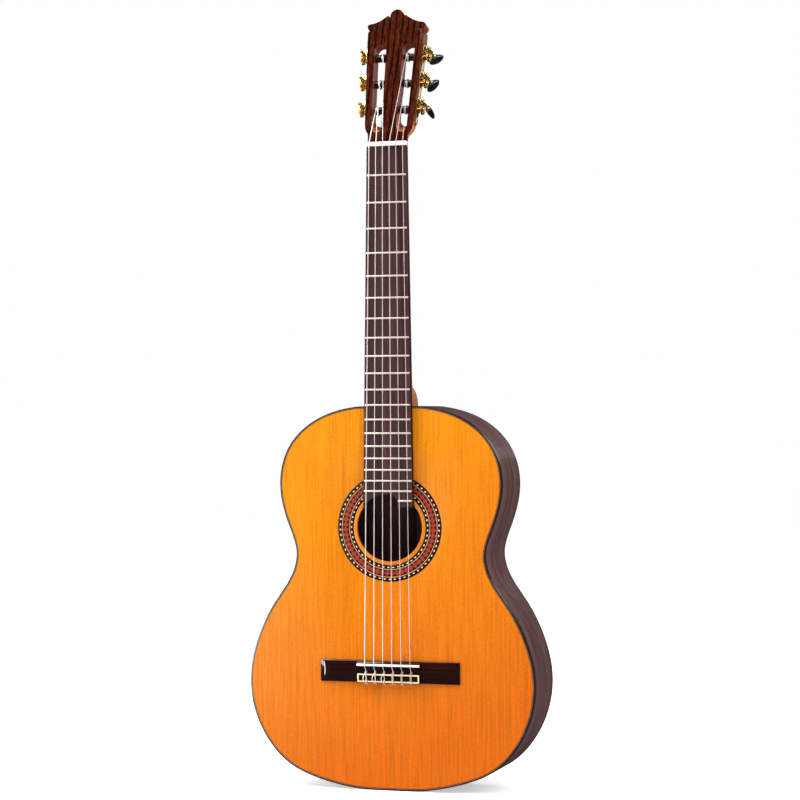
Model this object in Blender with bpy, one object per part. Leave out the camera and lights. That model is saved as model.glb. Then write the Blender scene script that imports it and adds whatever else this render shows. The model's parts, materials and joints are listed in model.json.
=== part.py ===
"""A six-string classical guitar, built as the separate pieces that a luthier glues and screws together.

Frame, in metres: the origin is the centre of the flat tail face, +Z runs up the neck to the head, -Y points
out of the soundboard and +X is the treble side. "Depth" is measured back from the soundboard's front face.
"""

import math

import bmesh
import bpy
from mathutils import Matrix, Vector

# ---- driving dimensions: body ----
TOP_Y = -0.048              # soundboard's front face
TAIL_FLAT = 0.025           # half-width of the flat on the tail
NECK_FLAT = 0.032           # half-width of the flat that the neck butts against
BODY_TOP_Z = 0.483
BODY_HALF_OUTLINE = [       # (x, z) from the tail flat, round both bouts, to the neck flat
    (TAIL_FLAT, 0.0), (0.088, 0.0095), (0.1347, 0.0288), (0.1636, 0.0582), (0.1813, 0.0943), (0.1875, 0.140),
    (0.1775, 0.187), (0.1525, 0.236), (0.1325, 0.266), (0.1243, 0.297), (0.1330, 0.328), (0.1462, 0.385),
    (0.1352, 0.430), (0.1070, 0.4605), (0.0640, 0.479), (NECK_FLAT, BODY_TOP_Z),
]
OUTLINE_STEPS = 34          # curved stretch of one half of the outline
CENTRE_DEPTH = 0.0995       # deepest point of the body
DEEPEST_Z = 0.215
BACK_CROSS_RADIUS = 2.8     # dome of the back, across and along
BACK_LONG_RADIUS = 3.2
SOUNDBOARD_THICK = 0.0023
BACK_THICK = 0.0025
SIDE_THICK = 0.002
BINDING_WIDE = 0.0017
BINDING_TALL = 0.0055
PURFLING_WIDE = 0.0011      # dark line between the binding and the soundboard
PURFLING_TALL = 0.0019
CAVITY_INSET = 0.00232      # outer face of the pieces glued inside the sides
LINING_WIDE = 0.0058
LINING_TALL = 0.0145
GLUE_GAP = 0.00012          # between pieces that share the body's outline
GAP = 0.0003                # between other neighbours
DOME_GAP = 0.0009           # under the domed back, whose inner face is made of flat facets
GRAFT_HALF = 0.006

HOLE_Z = 0.3305
HOLE_RADIUS = 0.0428
ROSETTE_INNER = 0.0474
ROSETTE_OUTER = 0.0682
ROSETTE_DEEP = 0.0012

# ---- driving dimensions: neck, fingerboard, head ----
SCALE_LENGTH = 0.650
NUT_FRONT_Z = 0.8094
NUT_THICK = 0.0053
NUT_HALF = 0.026
BOARD_SLOPE = 0.01440       # growth of the fingerboard's half-width for each metre below the nut
BOARD_THICK = 0.0065
BOARD_END_Z = 0.3562
BOARD_OVERHANG = 0.0006     # how far the board's end reaches over the sound hole's edge
TONGUE_X = 0.0128           # inner edge of the treble tongue that holds the last fret
TONGUE_CURVE = [(0.0043, 0.0), (0.0062, 0.0009), (0.0080, 0.0024), (0.0098, 0.0041), (0.0115, 0.0061),
                (0.0124, 0.0080)]           # (x, drop) where the end sweeps into the tongue
NECK_DEEP_NUT = 0.0155
NECK_DEEP_HEEL = 0.0175
SECTION_POINTS = 11         # points on one side of a section of the neck
HEAD_SECTIONS = [           # (s, half-width, depth, squareness) where the neck turns into the head
    (0.0010, 0.0259, 0.01862, 2.05), (0.0050, 0.0259, 0.0187, 2.2), (0.0085, 0.0261, 0.0188, 2.5),
    (0.0116, 0.0268, 0.0190, 3.0), (0.0140, 0.0284, 0.0192, 3.8), (0.0180, 0.0304, 0.0195, 5.5),
    (0.0230, 0.0312, 0.0198, 9.0), (0.0290, 0.03165, 0.0199, 20.0),
]
TRANSITION_Z = [-0.030, -0.012, 0.0005]     # last sections of the shaft, measured from the nut's front
HEAD_SLAB_S = 0.0285        # above this the head is a flat slab
HEEL_HALF_TOP = 0.0306
HEEL_HALF_END = 0.0113
HEEL_TAPER = 1.9            # how quickly the heel narrows from the neck to its cap
HEEL_REACH = 0.0255         # how far the heel's end stands out of the body
SHAFT_SECTIONS = [0.085, 0.150, 0.235]      # cross-sections of the shaft, measured up from the body
HEEL_SWEEP = [              # (front or joint edge, back edge) of each carved section, as (rise, depth) pairs
    ((0.0620, 0.0), (0.0620, 0.0175)), ((0.0470, 0.0), (0.0525, 0.0177)), ((0.0370, 0.0), (0.0462, 0.0185)),
    ((0.0285, 0.0), (0.0410, 0.0202)), ((0.0205, 0.0), (0.0366, 0.0231)), ((0.0130, 0.0), (0.0332, 0.0272)),
    ((0.0060, 0.0), (0.0306, 0.0326)), ((GAP, 0.0), (0.0288, 0.0388)), ((GAP, 0.0110), (0.0274, 0.0468)),
    ((GAP, 0.0240), (0.0264, 0.0560)), ((GAP, 0.0400), (0.0258, 0.0665)), ((GAP, 0.0590), (0.0255, 0.0775)),
    ((GAP, 0.0790), (0.0255, 0.0870)),
]
CAP_THICK = 0.0022
FRET_COUNT = 20
FRET_TANG = 0.0005
FRET_CROWN = 0.0022
FRET_HIGH = 0.0010
TANG_DEEP = 0.0020

HEAD_TILT = math.radians(14.5)
HEAD_THICK = 0.020
HEADPLATE_THICK = 0.0025
HEADPLATE_RISE = 0.0025     # how far the headplate's lower edge stands in front of the soundboard's plane
HEAD_HALF_OUTLINE = [       # (x, s): s runs up the head's face from the nut
    (0.0261, 0.0077), (0.0269, 0.0116), (0.0285, 0.0140), (0.0305, 0.0180), (0.0315, 0.0250),
    (0.0367, 0.1360), (0.0368, 0.1470), (0.0363, 0.1503), (0.0347, 0.1522), (0.0371, 0.1543),
    (0.0381, 0.1568), (0.0378, 0.1590), (0.0356, 0.1602), (0.0295, 0.1612), (0.0220, 0.1641),
    (0.0159, 0.1682), (0.0117, 0.1711), (0.0102, 0.1700), (0.0089, 0.1679), (0.0085, 0.1714),
    (0.0073, 0.1753), (0.0045, 0.1780), (0.0017, 0.1789),
]
NOTCH_S = 0.1522            # carved groove that runs inwards from each side notch
NOTCH_X = 0.0345
NOTCH_INNER_X = 0.0215
SLOT_LOW_S = 0.0120         # the ramp's tip on the face
SLOT_LOW_BACK_S = 0.0280
SLOT_TOP_S = 0.1335
SLOT_CENTRE_LOW = 0.0166
SLOT_CENTRE_TOP = 0.0189
SLOT_HALF_LOW = 0.0073
SLOT_HALF_TOP = 0.0081

# ---- driving dimensions: bridge and strings ----
SADDLE_Z = 0.158
SADDLE_THICK = 0.0028
SADDLE_HALF = 0.041
SADDLE_TOP = 0.0113         # height over the soundboard
BRIDGE_TAIL_Z = 0.1355
BRIDGE_FRONT_Z = 0.1630
BRIDGE_HALF = 0.0915
BRIDGE_CENTRE_HALF = 0.0415
WING_HIGH = 0.0046
TIE_TOP = 0.0086
TIE_FRONT_Z = 0.1472
TIE_HOLE_HIGH = 0.0048
TIE_HOLE_RADIUS = 0.0009
TRIM_WIDE = 0.0017
TRIM_THICK = 0.0006
NUT_SPREAD = 0.044
SADDLE_SPREAD = 0.0595
STRING_OVER_BOARD = 0.0024  # centre of a string over the fingerboard at the nut
STRING_RADII = [0.00036, 0.00041, 0.00051, 0.00037, 0.00045, 0.00054]      # string 1 (treble) to string 6

# ---- driving dimensions: tuning machines ----
ROLLER_SPACING = 0.0355
MIDDLE_ROLLER_S = 0.0804
ROLLER_DEPTH = 0.0095
SIDE_HALF_AT_MIDDLE = 0.0341
SIDE_LEAN = math.radians(2.68)
BARREL_RADIUS = 0.00515
BARREL_OUT = -0.0098        # positions along a roller, measured outwards from the head's side face
BARREL_IN = -0.0220
JOURNAL_IN = -0.0275
JOURNAL_RADIUS = 0.0025
SHAFT_RADIUS = 0.0030
STUB_RADIUS = 0.0019
BORE_CLEARANCE = 0.00008
BORE_STEP = -0.016          # inside the slot, where the bore through the wall meets the journal's bore
PLATE_THICK = 0.0015
PLATE_GAP = 0.00015
PLATE_LOW = -0.057
PLATE_TOP = 0.0535
PLATE_WAIST = 0.0038
PLATE_HALF = 0.0065
GEAR_TEETH = 14
MODULE = 0.0008
GEAR_WIDE = 0.0034
GEAR_TIP = 0.0062
GEAR_ROOT = 0.0046
GEAR_HUB = 0.0040
TOOTH_THICK = 0.00098       # at the pitch line, for the gear's teeth and the worm's thread alike
FLANK = math.tan(math.radians(20))
WORM_PITCH_RADIUS = 0.0034
WORM_TIP = 0.00405
WORM_ROOT = 0.0025
WORM_TURNS = 3
WORM_STEPS = 10             # for each turn
WORM_HALF = 0.0047
WORM_SHAFT = 0.0015
WORM_OUT = 0.0080           # worm's axis, outwards from the head's side face
EAR_HALF = 0.0031
EAR_INNER = 0.0049
EAR_OUTER = 0.0064
BALL_RADIUS = 0.00265
BALL_CENTRE = 0.0086
FERRULE_START = 0.0175
FERRULE_END = 0.0205
FERRULE_RADIUS = 0.0036
TANG_RADIUS = 0.0012
TANG_END = 0.0290
BUTTON_HALF_SECTIONS = [    # (distance below the ferrule, half-width, half-thickness)
    (0.0003, 0.0036, 0.0034), (0.0025, 0.0046, 0.0039), (0.0055, 0.0086, 0.0041), (0.0090, 0.0108, 0.0041),
    (0.0130, 0.0104, 0.0038), (0.0160, 0.0072, 0.0030), (0.0176, 0.0026, 0.0014),
]
BUTTON_TURNS = {1: 34, 2: -41, 3: -58, 4: 12, 5: -15, 6: 6}       # degrees round the worm, at rest
ROUND = 14                  # segments of a small round piece
ROSETTE_STEPS = 48


# ---- scene and mesh helpers ----

def clear_scene():
    for obj in list(bpy.data.objects):
        bpy.data.objects.remove(obj, do_unlink=True)


def material(name, colour, roughness, metallic=0.0):
    mat = bpy.data.materials.new(name)
    mat.use_nodes = True
    shader = mat.node_tree.nodes["Principled BSDF"]
    shader.inputs["Base Color"].default_value = (*colour, 1.0)
    shader.inputs["Roughness"].default_value = roughness
    shader.inputs["Metallic"].default_value = metallic
    mat.diffuse_color = (*colour, 1.0)
    return mat


def add_object(name, bm, mat=None):
    """Makes an object from a bmesh, with its faces pointing out."""
    bmesh.ops.recalc_face_normals(bm, faces=bm.faces)
    mesh = bpy.data.meshes.new(name)
    bm.to_mesh(mesh)
    bm.free()
    mesh.shade_smooth()
    mesh.set_sharp_from_angle(angle=math.radians(35))
    if mat:
        mesh.materials.append(mat)
    obj = bpy.data.objects.new(name, mesh)
    bpy.context.scene.collection.objects.link(obj)
    return obj


def combine(obj, tool, operation):
    """Applies an exact Boolean to obj and removes the tool."""
    modifier = obj.modifiers.new("combine", "BOOLEAN")
    modifier.operation = operation
    modifier.solver = "EXACT"
    modifier.object = tool
    bpy.context.view_layer.update()
    evaluated = obj.evaluated_get(bpy.context.evaluated_depsgraph_get())
    mesh = bpy.data.meshes.new_from_object(evaluated)
    obj.modifiers.clear()
    old = obj.data
    obj.data = mesh
    mesh.name = obj.name
    bpy.data.meshes.remove(old)
    bpy.data.objects.remove(tool, do_unlink=True)
    return obj


def cut(obj, tool):
    return combine(obj, tool, "DIFFERENCE")


def unite(obj, tool):
    return combine(obj, tool, "UNION")


def loft(rings, bm=None, closed=False):
    """Skins rings of points, each with the same number of points. An open loft gets flat end caps."""
    bm = bm or bmesh.new()
    verts = [[bm.verts.new(p) for p in ring] for ring in rings]
    count = len(rings[0])
    pairs = list(zip(verts, verts[1:]))
    if closed:
        pairs.append((verts[-1], verts[0]))
    for low, high in pairs:
        for i in range(count):
            j = (i + 1) % count
            bm.faces.new((low[i], low[j], high[j], high[i]))
    if not closed:
        bm.faces.new(verts[0])
        bm.faces.new(verts[-1])
    return bm


def prism(outline, place, near, far, bm=None):
    """Extrudes a flat outline: place(a, b, level) gives a point, and near and far are the two levels."""
    rings = [[place(a, b, level) for a, b in outline] for level in (near, far)]
    return loft(rings, bm)


def box(low, high, bm=None):
    outline = [(low[0], low[1]), (high[0], low[1]), (high[0], high[1]), (low[0], high[1])]
    return prism(outline, lambda a, b, level: Vector((a, b, level)), low[2], high[2], bm)


def circle(radius, segments, centre=(0.0, 0.0), start=0.0):
    angles = [start + 2 * math.pi * i / segments for i in range(segments)]
    return [(centre[0] + radius * math.cos(t), centre[1] + radius * math.sin(t)) for t in angles]


def arc(radius, start, end, steps, centre=(0.0, 0.0)):
    """Points on an arc, from start to end in degrees."""
    angles = [math.radians(start + (end - start) * i / steps) for i in range(steps + 1)]
    return [(centre[0] + radius * math.cos(t), centre[1] + radius * math.sin(t)) for t in angles]


def lathe(profile, segments=ROUND, bm=None):
    """Turns a profile of (radius, z) points about Z, with flat ends."""
    rings = [[Vector((x, y, z)) for x, y in circle(radius, segments)] for radius, z in profile]
    return loft(rings, bm)


def tube(path, radius, sides=6, bm=None):
    """Sweeps a circle along a path, without twisting it."""
    tangents = []
    for i in range(len(path)):
        ahead = path[min(i + 1, len(path) - 1)]
        behind = path[max(i - 1, 0)]
        tangents.append((ahead - behind).normalized())
    across = tangents[0].orthogonal().normalized()
    rings = []
    for point, tangent in zip(path, tangents):
        across = (across - tangent * across.dot(tangent)).normalized()
        up = tangent.cross(across)
        rings.append([point + across * a + up * b for a, b in circle(radius, sides)])
    return loft(rings, bm)


# ---- shared geometry ----

def at_depth(x, z, depth):
    return Vector((x, TOP_Y + depth, z))


def on_head(x, s, depth):
    """A point on the tilted head: s runs up its face from the nut, depth goes back from its face."""
    up = Vector((0, math.sin(HEAD_TILT), math.cos(HEAD_TILT)))
    front = Vector((0, -math.cos(HEAD_TILT), math.sin(HEAD_TILT)))
    corner = at_depth(0, NUT_FRONT_Z + NUT_THICK, -HEADPLATE_RISE)
    return corner + Vector((x, 0, 0)) + up * s - front * depth


def smooth_curve(points, start_tangent, end_tangent, steps):
    """Clamped cubic spline through the points, evenly spaced. Returns (position, tangent) pairs."""
    knots = [0.0]
    for a, b in zip(points, points[1:]):
        knots.append(knots[-1] + (b - a).length)
    last = len(points) - 1
    spans = [knots[i + 1] - knots[i] for i in range(last)]
    slopes = [Vector(start_tangent)]
    gains = [0.0]
    for i in range(1, last):
        a, b = spans[i - 1], spans[i]
        right = 3 * ((points[i] - points[i - 1]) * (b / a) + (points[i + 1] - points[i]) * (a / b))
        pivot = 2 * (a + b) - b * gains[-1]
        slopes.append((right - slopes[-1] * b) / pivot)
        gains.append(a / pivot)
    slopes.append(Vector(end_tangent))
    for i in range(last - 1, 0, -1):
        slopes[i] = slopes[i] - slopes[i + 1] * gains[i]
    result = []
    for k in range(steps + 1):
        distance = knots[-1] * k / steps
        i = next(n for n in range(last) if distance <= knots[n + 1] + 1e-12)
        h = spans[i]
        t = (distance - knots[i]) / h
        position = ((2 * t**3 - 3 * t**2 + 1) * points[i] + (t**3 - 2 * t**2 + t) * h * slopes[i]
                    + (3 * t**2 - 2 * t**3) * points[i + 1] + (t**3 - t**2) * h * slopes[i + 1])
        tangent = ((6 * t**2 - 6 * t) / h * (points[i] - points[i + 1])
                   + (3 * t**2 - 4 * t + 1) * slopes[i] + (3 * t**2 - 2 * t) * slopes[i + 1])
        result.append((position, tangent.normalized()))
    return result


def body_half(inset, tail_x=0.0, neck_x=0.0):
    """(x, z) points round the treble half of the body, from the tail to the neck, moved inwards by inset."""
    corners = [Vector(p) for p in BODY_HALF_OUTLINE]
    points = []
    for position, tangent in smooth_curve(corners, (1, 0), (-1, 0), OUTLINE_STEPS):
        outwards = Vector((tangent.y, -tangent.x))
        points.append(tuple(position - outwards * inset))
    return [(tail_x, inset)] + points + [(neck_x, BODY_TOP_Z - inset)]


def body_width_at(z, inset):
    """Half-width of the body at a height."""
    points = body_half(inset)
    for (xa, za), (xb, zb) in zip(points, points[1:]):
        if za <= z <= zb and zb > za:
            return xa + (xb - xa) * (z - za) / (zb - za)
    return points[-1][0]


def back_depth(x, z):
    """Depth of the domed back's outer face."""
    across = x * x / (2 * BACK_CROSS_RADIUS)
    along = (z - DEEPEST_Z) ** 2 / (2 * BACK_LONG_RADIUS)
    return CENTRE_DEPTH - across - along


def mirrored(half):
    """A closed outline from its treble half, which starts and ends on the centre line."""
    return half + [(-x, z) for x, z in reversed(half[1:-1])]


def strip_round_body(name, mat, side, inset, width, front, back, tail_x, neck_x, first=0, last=None):
    """A strip that follows one side of the body. front and back give its edges' depths at (x, z)."""
    outer = body_half(inset, tail_x, neck_x)[first:last]
    inner = body_half(inset + width, tail_x, neck_x)[first:last]
    rings = []
    for (xo, zo), (xi, zi) in zip(outer, inner):
        rings.append([
            at_depth(side * xo, zo, front(xo, zo)), at_depth(side * xo, zo, back(xo, zo)),
            at_depth(side * xi, zi, back(xi, zi)), at_depth(side * xi, zi, front(xi, zi)),
        ])
    return add_object(name, loft(rings), mat)


# ---- body ----

def build_soundboard(mat):
    outline = mirrored(body_half(BINDING_WIDE + PURFLING_WIDE + 2 * GLUE_GAP))
    board = add_object("soundboard", prism(outline, at_depth, 0.0, SOUNDBOARD_THICK), mat)
    hole = prism(circle(HOLE_RADIUS, ROSETTE_STEPS, (0, HOLE_Z)), at_depth, -0.002, SOUNDBOARD_THICK + 0.002)
    cut(board, add_object("hole_cutter", hole))
    channel = ring_solid(ROSETTE_INNER - GLUE_GAP, ROSETTE_OUTER + GLUE_GAP, -0.001, ROSETTE_DEEP + GLUE_GAP)
    return cut(board, add_object("channel_cutter", channel))


def ring_solid(inner, outer, near, far, segments=ROSETTE_STEPS):
    """A flat ring round the sound hole."""
    rings = []
    for i in range(segments):
        t = 2 * math.pi * i / segments
        x, z = math.cos(t), math.sin(t)
        rings.append([
            at_depth(inner * x, HOLE_Z + inner * z, near), at_depth(outer * x, HOLE_Z + outer * z, near),
            at_depth(outer * x, HOLE_Z + outer * z, far), at_depth(inner * x, HOLE_Z + inner * z, far),
        ])
    return loft(rings, closed=True)


def build_back(mat):
    """The domed back: rows from side to side that follow the dome."""
    half = body_half(BINDING_WIDE + GLUE_GAP)[1:-1]
    fractions = [-1, -0.55, 0, 0.55, 1]
    bm = bmesh.new()
    sheets = []
    for thick in (0.0, BACK_THICK):
        sheets.append([[bm.verts.new(at_depth(x * f, z, back_depth(x * f, z) - thick)) for f in fractions]
                       for x, z in half])
    for sheet in sheets:
        for low, high in zip(sheet, sheet[1:]):
            for i in range(len(fractions) - 1):
                bm.faces.new((low[i], low[i + 1], high[i + 1], high[i]))
    rims = []
    for sheet in sheets:
        rims.append(sheet[0] + [row[-1] for row in sheet[1:-1]] + sheet[-1][::-1]
                    + [row[0] for row in reversed(sheet[1:-1])])
    for i in range(len(rims[0])):
        j = (i + 1) % len(rims[0])
        bm.faces.new((rims[0][i], rims[0][j], rims[1][j], rims[1][i]))
    return add_object("back", bm, mat)


def build_edge_strip(name, mat, inset, width, front, back):
    """A strip let into the body's edge, all the way round."""
    outer = mirrored(body_half(inset))
    inner = mirrored(body_half(inset + width))
    rings = []
    for (xo, zo), (xi, zi) in zip(outer, inner):
        rings.append([
            at_depth(xo, zo, front(xo, zo)), at_depth(xo, zo, back(xo, zo)),
            at_depth(xi, zi, back(xi, zi)), at_depth(xi, zi, front(xi, zi)),
        ])
    return add_object(name, loft(rings, closed=True), mat)


def flat_front(x, z):
    return 0.0


def binding_back(x, z):
    return BINDING_TALL


def purfling_back(x, z):
    return PURFLING_TALL


def back_binding_front(x, z):
    return back_depth(x, z) - BINDING_TALL


def side_front(x, z):
    return BINDING_TALL + GLUE_GAP


def side_back(x, z):
    return back_depth(x, z) - BINDING_TALL - GLUE_GAP


def build_sides(mat, graft_mat):
    for name, side in (("side_treble", 1), ("side_bass", -1)):
        strip_round_body(name, mat, side, 0.0, SIDE_THICK, side_front, side_back,
                         GRAFT_HALF + GLUE_GAP, GLUE_GAP)
    graft = [(-GRAFT_HALF, 0.0), (GRAFT_HALF, 0.0), (GRAFT_HALF, SIDE_THICK), (-GRAFT_HALF, SIDE_THICK)]
    depth = side_back(0, 0)
    add_object("end_graft", prism(graft, at_depth, side_front(0, 0), depth), graft_mat)


def build_linings(mat):
    """Kerfed strips that widen the glue joint between the sides and both plates, from block to block."""
    first, last = 3, -4
    front = SOUNDBOARD_THICK + GLUE_GAP
    for name, side in (("treble", 1), ("bass", -1)):
        strip_round_body("lining_top_" + name, mat, side, CAVITY_INSET, LINING_WIDE,
                         lambda x, z: front, lambda x, z: front + LINING_TALL, 0, 0, first, last)
        strip_round_body("lining_back_" + name, mat, side, CAVITY_INSET, LINING_WIDE,
                         lambda x, z: back_depth(x, z) - BACK_THICK - 2 * GAP - LINING_TALL,
                         lambda x, z: back_depth(x, z) - BACK_THICK - 2 * GAP, 0, 0, first, last)


def build_block(name, mat, at_tail, half, thick):
    """A block that ties the sides, the top and the back together. Its outer face follows the sides."""
    points = body_half(CAVITY_INSET)
    outer = [(x, z) for x, z in (points if at_tail else points[::-1]) if x < half][:4]
    outer = [p for p in outer if (p[1] < 0.05) == at_tail]
    inner_z = CAVITY_INSET + thick if at_tail else BODY_TOP_Z - CAVITY_INSET - thick
    half_outline = outer + [(outer[-1][0], inner_z)]
    outline = half_outline + [(-x, z) for x, z in reversed(half_outline[1:])]
    front = SOUNDBOARD_THICK + GLUE_GAP
    front_ring = [at_depth(x, z, front) for x, z in outline]
    back_ring = [at_depth(x, z, back_depth(x, z) - BACK_THICK - GAP) for x, z in outline]
    return add_object(name, loft([front_ring, back_ring]), mat)


def build_harmonic_bar(name, mat, z, width=0.007, high=0.016):
    """A cross bar under the soundboard, with its ends thinned."""
    reach = body_width_at(z, CAVITY_INSET + LINING_WIDE) - 0.003
    front = SOUNDBOARD_THICK + GLUE_GAP
    profile = [(-reach, front), (reach, front), (reach, front + 0.004), (reach - 0.035, front + high),
               (-reach + 0.035, front + high), (-reach, front + 0.004)]
    place = lambda x, depth, level: at_depth(x, z + level, depth)
    return add_object(name, prism(profile, place, -width / 2, width / 2), mat)


def build_fan_bracing(mat):
    """Seven struts that fan out below the hole, two closing bars and the bridge patch, glued together."""
    front = SOUNDBOARD_THICK + GLUE_GAP
    patch_low, patch_high = BRIDGE_TAIL_Z - 0.002, BRIDGE_FRONT_Z + 0.002
    patch = box((-0.095, TOP_Y + front, patch_low), (0.095, TOP_Y + front + 0.002, patch_high))
    frame = add_object("fan_bracing", patch, mat)
    for i in range(-3, 4):
        top = Vector((0.0155 * i, 0.265))
        low = Vector((0.0370 * i, 0.046 + 0.0045 * i * i))
        unite(frame, add_object("strut", brace(top, low, 0.0050, front, 0.0045)))
    for side in (1, -1):
        inner = Vector((side * -0.003, 0.036))
        outer = Vector((side * 0.125, 0.093))
        unite(frame, add_object("closing_bar", brace(inner, outer, 0.0050, front + 0.0002, 0.0048)))
    return frame


def brace(start, end, width, front, high):
    """A straight strut on the soundboard's inner face with a peaked top."""
    along = (end - start).normalized()
    across = Vector((-along.y, along.x)) * (width / 2)
    rings = []
    for point in (start, end):
        a, b = point - across, point + across
        c, d = point + across * 0.45, point - across * 0.45
        rings.append([at_depth(a.x, a.y, front), at_depth(b.x, b.y, front),
                      at_depth(c.x, c.y, front + high), at_depth(d.x, d.y, front + high)])
    return loft(rings)


def build_back_bracing(mat):
    """A centre strip over the back's joint, crossed by three braces that hold its dome."""
    inner = lambda x, z: back_depth(x, z) - BACK_THICK - DOME_GAP
    rings = []
    for i in range(9):
        z = 0.022 + (0.450 - 0.022) * i / 8
        half, near = 0.006, inner(0, z)
        rings.append([at_depth(-half, z, near), at_depth(half, z, near),
                      at_depth(half, z, near - 0.002), at_depth(-half, z, near - 0.002)])
    frame = add_object("back_bracing", loft(rings), mat)
    for z in (0.108, 0.240, 0.378):
        reach = body_width_at(z, CAVITY_INSET + LINING_WIDE) - 0.003
        rings = []
        for f in (-1, -0.72, -0.36, 0, 0.36, 0.72, 1):
            x = reach * f
            near = inner(x, z) - 0.0001
            high = 0.004 if abs(f) == 1 else 0.014
            rings.append([at_depth(x, z - 0.004, near), at_depth(x, z + 0.004, near),
                          at_depth(x, z + 0.003, near - high), at_depth(x, z - 0.003, near - high)])
        unite(frame, add_object("back_brace", loft(rings)))
    return frame


# ---- bridge ----

def build_bridge(mat):
    """Tie block, string ramp and saddle ridge in the middle, with a low domed wing on each side."""
    ridge_low, ridge_high = SADDLE_Z - 0.0032, SADDLE_Z + 0.0032
    profile = [
        (BRIDGE_TAIL_Z, -GLUE_GAP), (BRIDGE_TAIL_Z, -TIE_TOP + 0.0006), (BRIDGE_TAIL_Z + 0.0006, -TIE_TOP),
        (TIE_FRONT_Z, -TIE_TOP), (TIE_FRONT_Z + 0.0002, -0.0036), (ridge_low - 0.0016, -0.0036),
        (ridge_low, -0.0077), (ridge_low + 0.0006, -0.0083), (ridge_high - 0.0006, -0.0083),
        (ridge_high + 0.0008, -0.0070), (BRIDGE_FRONT_Z, -0.0040), (BRIDGE_FRONT_Z, -GLUE_GAP),
    ]
    place = lambda z, depth, x: at_depth(x, z, depth)
    middle = prism(profile, place, -BRIDGE_CENTRE_HALF, BRIDGE_CENTRE_HALF)
    bridge = add_object("bridge", middle, mat)
    for side in (1, -1):
        unite(bridge, add_object("wing", bridge_wing(side)))
    slot_low = (-SADDLE_HALF - GLUE_GAP, TOP_Y - 0.012, SADDLE_Z - SADDLE_THICK / 2 - GLUE_GAP)
    slot_high = (SADDLE_HALF + GLUE_GAP, TOP_Y - 0.0030, SADDLE_Z + SADDLE_THICK / 2 + GLUE_GAP)
    cut(bridge, add_object("saddle_cutter", box(slot_low, slot_high)))
    cut(bridge, add_object("trim_cutter", trim_frame(GLUE_GAP)))
    holes = bmesh.new()
    for x in string_xs(SADDLE_SPREAD):
        place = lambda a, b, level: at_depth(a, level, b)
        outline = circle(TIE_HOLE_RADIUS, 10, (x, -TIE_HOLE_HIGH))
        prism(outline, place, BRIDGE_TAIL_Z - 0.001, TIE_FRONT_Z + 0.001, holes)
    return cut(bridge, add_object("hole_cutters", holes))


def bridge_wing(side):
    """A domed strip that slopes down at its outer end."""
    rings = []
    middle = (BRIDGE_TAIL_Z + BRIDGE_FRONT_Z) / 2
    half = (BRIDGE_FRONT_Z - BRIDGE_TAIL_Z) / 2
    for x, high in ((BRIDGE_CENTRE_HALF - 0.001, WING_HIGH), (BRIDGE_HALF - 0.0085, WING_HIGH),
                    (BRIDGE_HALF - 0.0055, WING_HIGH * 0.80), (BRIDGE_HALF, 0.0018)):
        ring = [at_depth(side * x, middle - half, -GLUE_GAP)]
        for i in range(7):
            t = math.pi * (1 - i / 6)
            rise = 0.62 + 0.38 * math.sin(t)
            ring.append(at_depth(side * x, middle + half * math.cos(t), -high * rise))
        ring.append(at_depth(side * x, middle + half, -GLUE_GAP))
        rings.append(ring)
    return loft(rings)


def trim_frame(grow):
    """The frame let into the top of the tie block."""
    half = BRIDGE_CENTRE_HALF - 0.0010
    low, high = BRIDGE_TAIL_Z + 0.0009, TIE_FRONT_Z - 0.0004
    corners = [(1, 1), (-1, 1), (-1, -1), (1, -1)]
    centre, span = (low + high) / 2, (high - low) / 2
    rings = []
    for a, b in corners:
        outer = (a * (half + grow), centre + b * (span + grow))
        inner = (a * (half - TRIM_WIDE - grow), centre + b * (span - TRIM_WIDE - grow))
        near, far = -TIE_TOP - 0.0001, -TIE_TOP + TRIM_THICK + grow
        near = near - 10 * grow
        rings.append([at_depth(*outer, near), at_depth(*inner, near),
                      at_depth(*inner, far), at_depth(*outer, far)])
    return loft(rings, closed=True)


def build_saddle(mat):
    """A bone blade with a rounded top."""
    low = SADDLE_Z - SADDLE_THICK / 2
    outline = [(low, -0.0032), (low + SADDLE_THICK, -0.0032)]
    top = arc(SADDLE_THICK / 2, 0, 180, 6, (SADDLE_Z, SADDLE_TOP - SADDLE_THICK / 2))
    outline += [(z, -high) for z, high in top]
    place = lambda z, depth, x: at_depth(x, z, depth)
    return add_object("saddle", prism(outline, place, -SADDLE_HALF, SADDLE_HALF), mat)


# ---- neck, fingerboard and head ----

def board_half(z):
    """Half-width of the fingerboard at a height."""
    return NUT_HALF + (NUT_FRONT_Z - z) * BOARD_SLOPE


def heel_half(depth, end_depth):
    """Half-width of the heel where it meets the body."""
    return HEEL_HALF_END + (HEEL_HALF_TOP - HEEL_HALF_END) * (1 - depth / end_depth) ** HEEL_TAPER


def section(half, power=2.0):
    """One side of a rounded section, as (half-width, share of the way to the back edge) pairs."""
    points = []
    for i in range(SECTION_POINTS):
        t = math.sin(math.pi / 2 * i / SECTION_POINTS)
        points.append((half * (1 - t ** power) ** (1 / power), t))
    return points + [(0.0, 1.0)]


def shaft_depth(z):
    """How deep the neck's shaft is at a height."""
    share = (NUT_FRONT_Z - z) / (NUT_FRONT_Z - BODY_TOP_Z)
    return NECK_DEEP_NUT + (NECK_DEEP_HEEL - NECK_DEEP_NUT) * share


def carved_section(front, back, half):
    """A section between two edges, each a (height, depth) pair: wide at the front, rounded at the back."""
    ring = []
    for x, t in full_section(section(half)):
        ring.append(at_depth(x, front[0] + (back[0] - front[0]) * t, front[1] + (back[1] - front[1]) * t))
    return ring


def full_section(half_ring):
    """Both sides of a section whose last point lies on the centre line."""
    return half_ring + [(-x, depth) for x, depth in reversed(half_ring[:-1])]


def head_section(s, half, front, deep, power):
    """A squarer section, square to the head's face."""
    return [on_head(x, s, front + (deep - front) * t) for x, t in full_section(section(half, power))]


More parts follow.
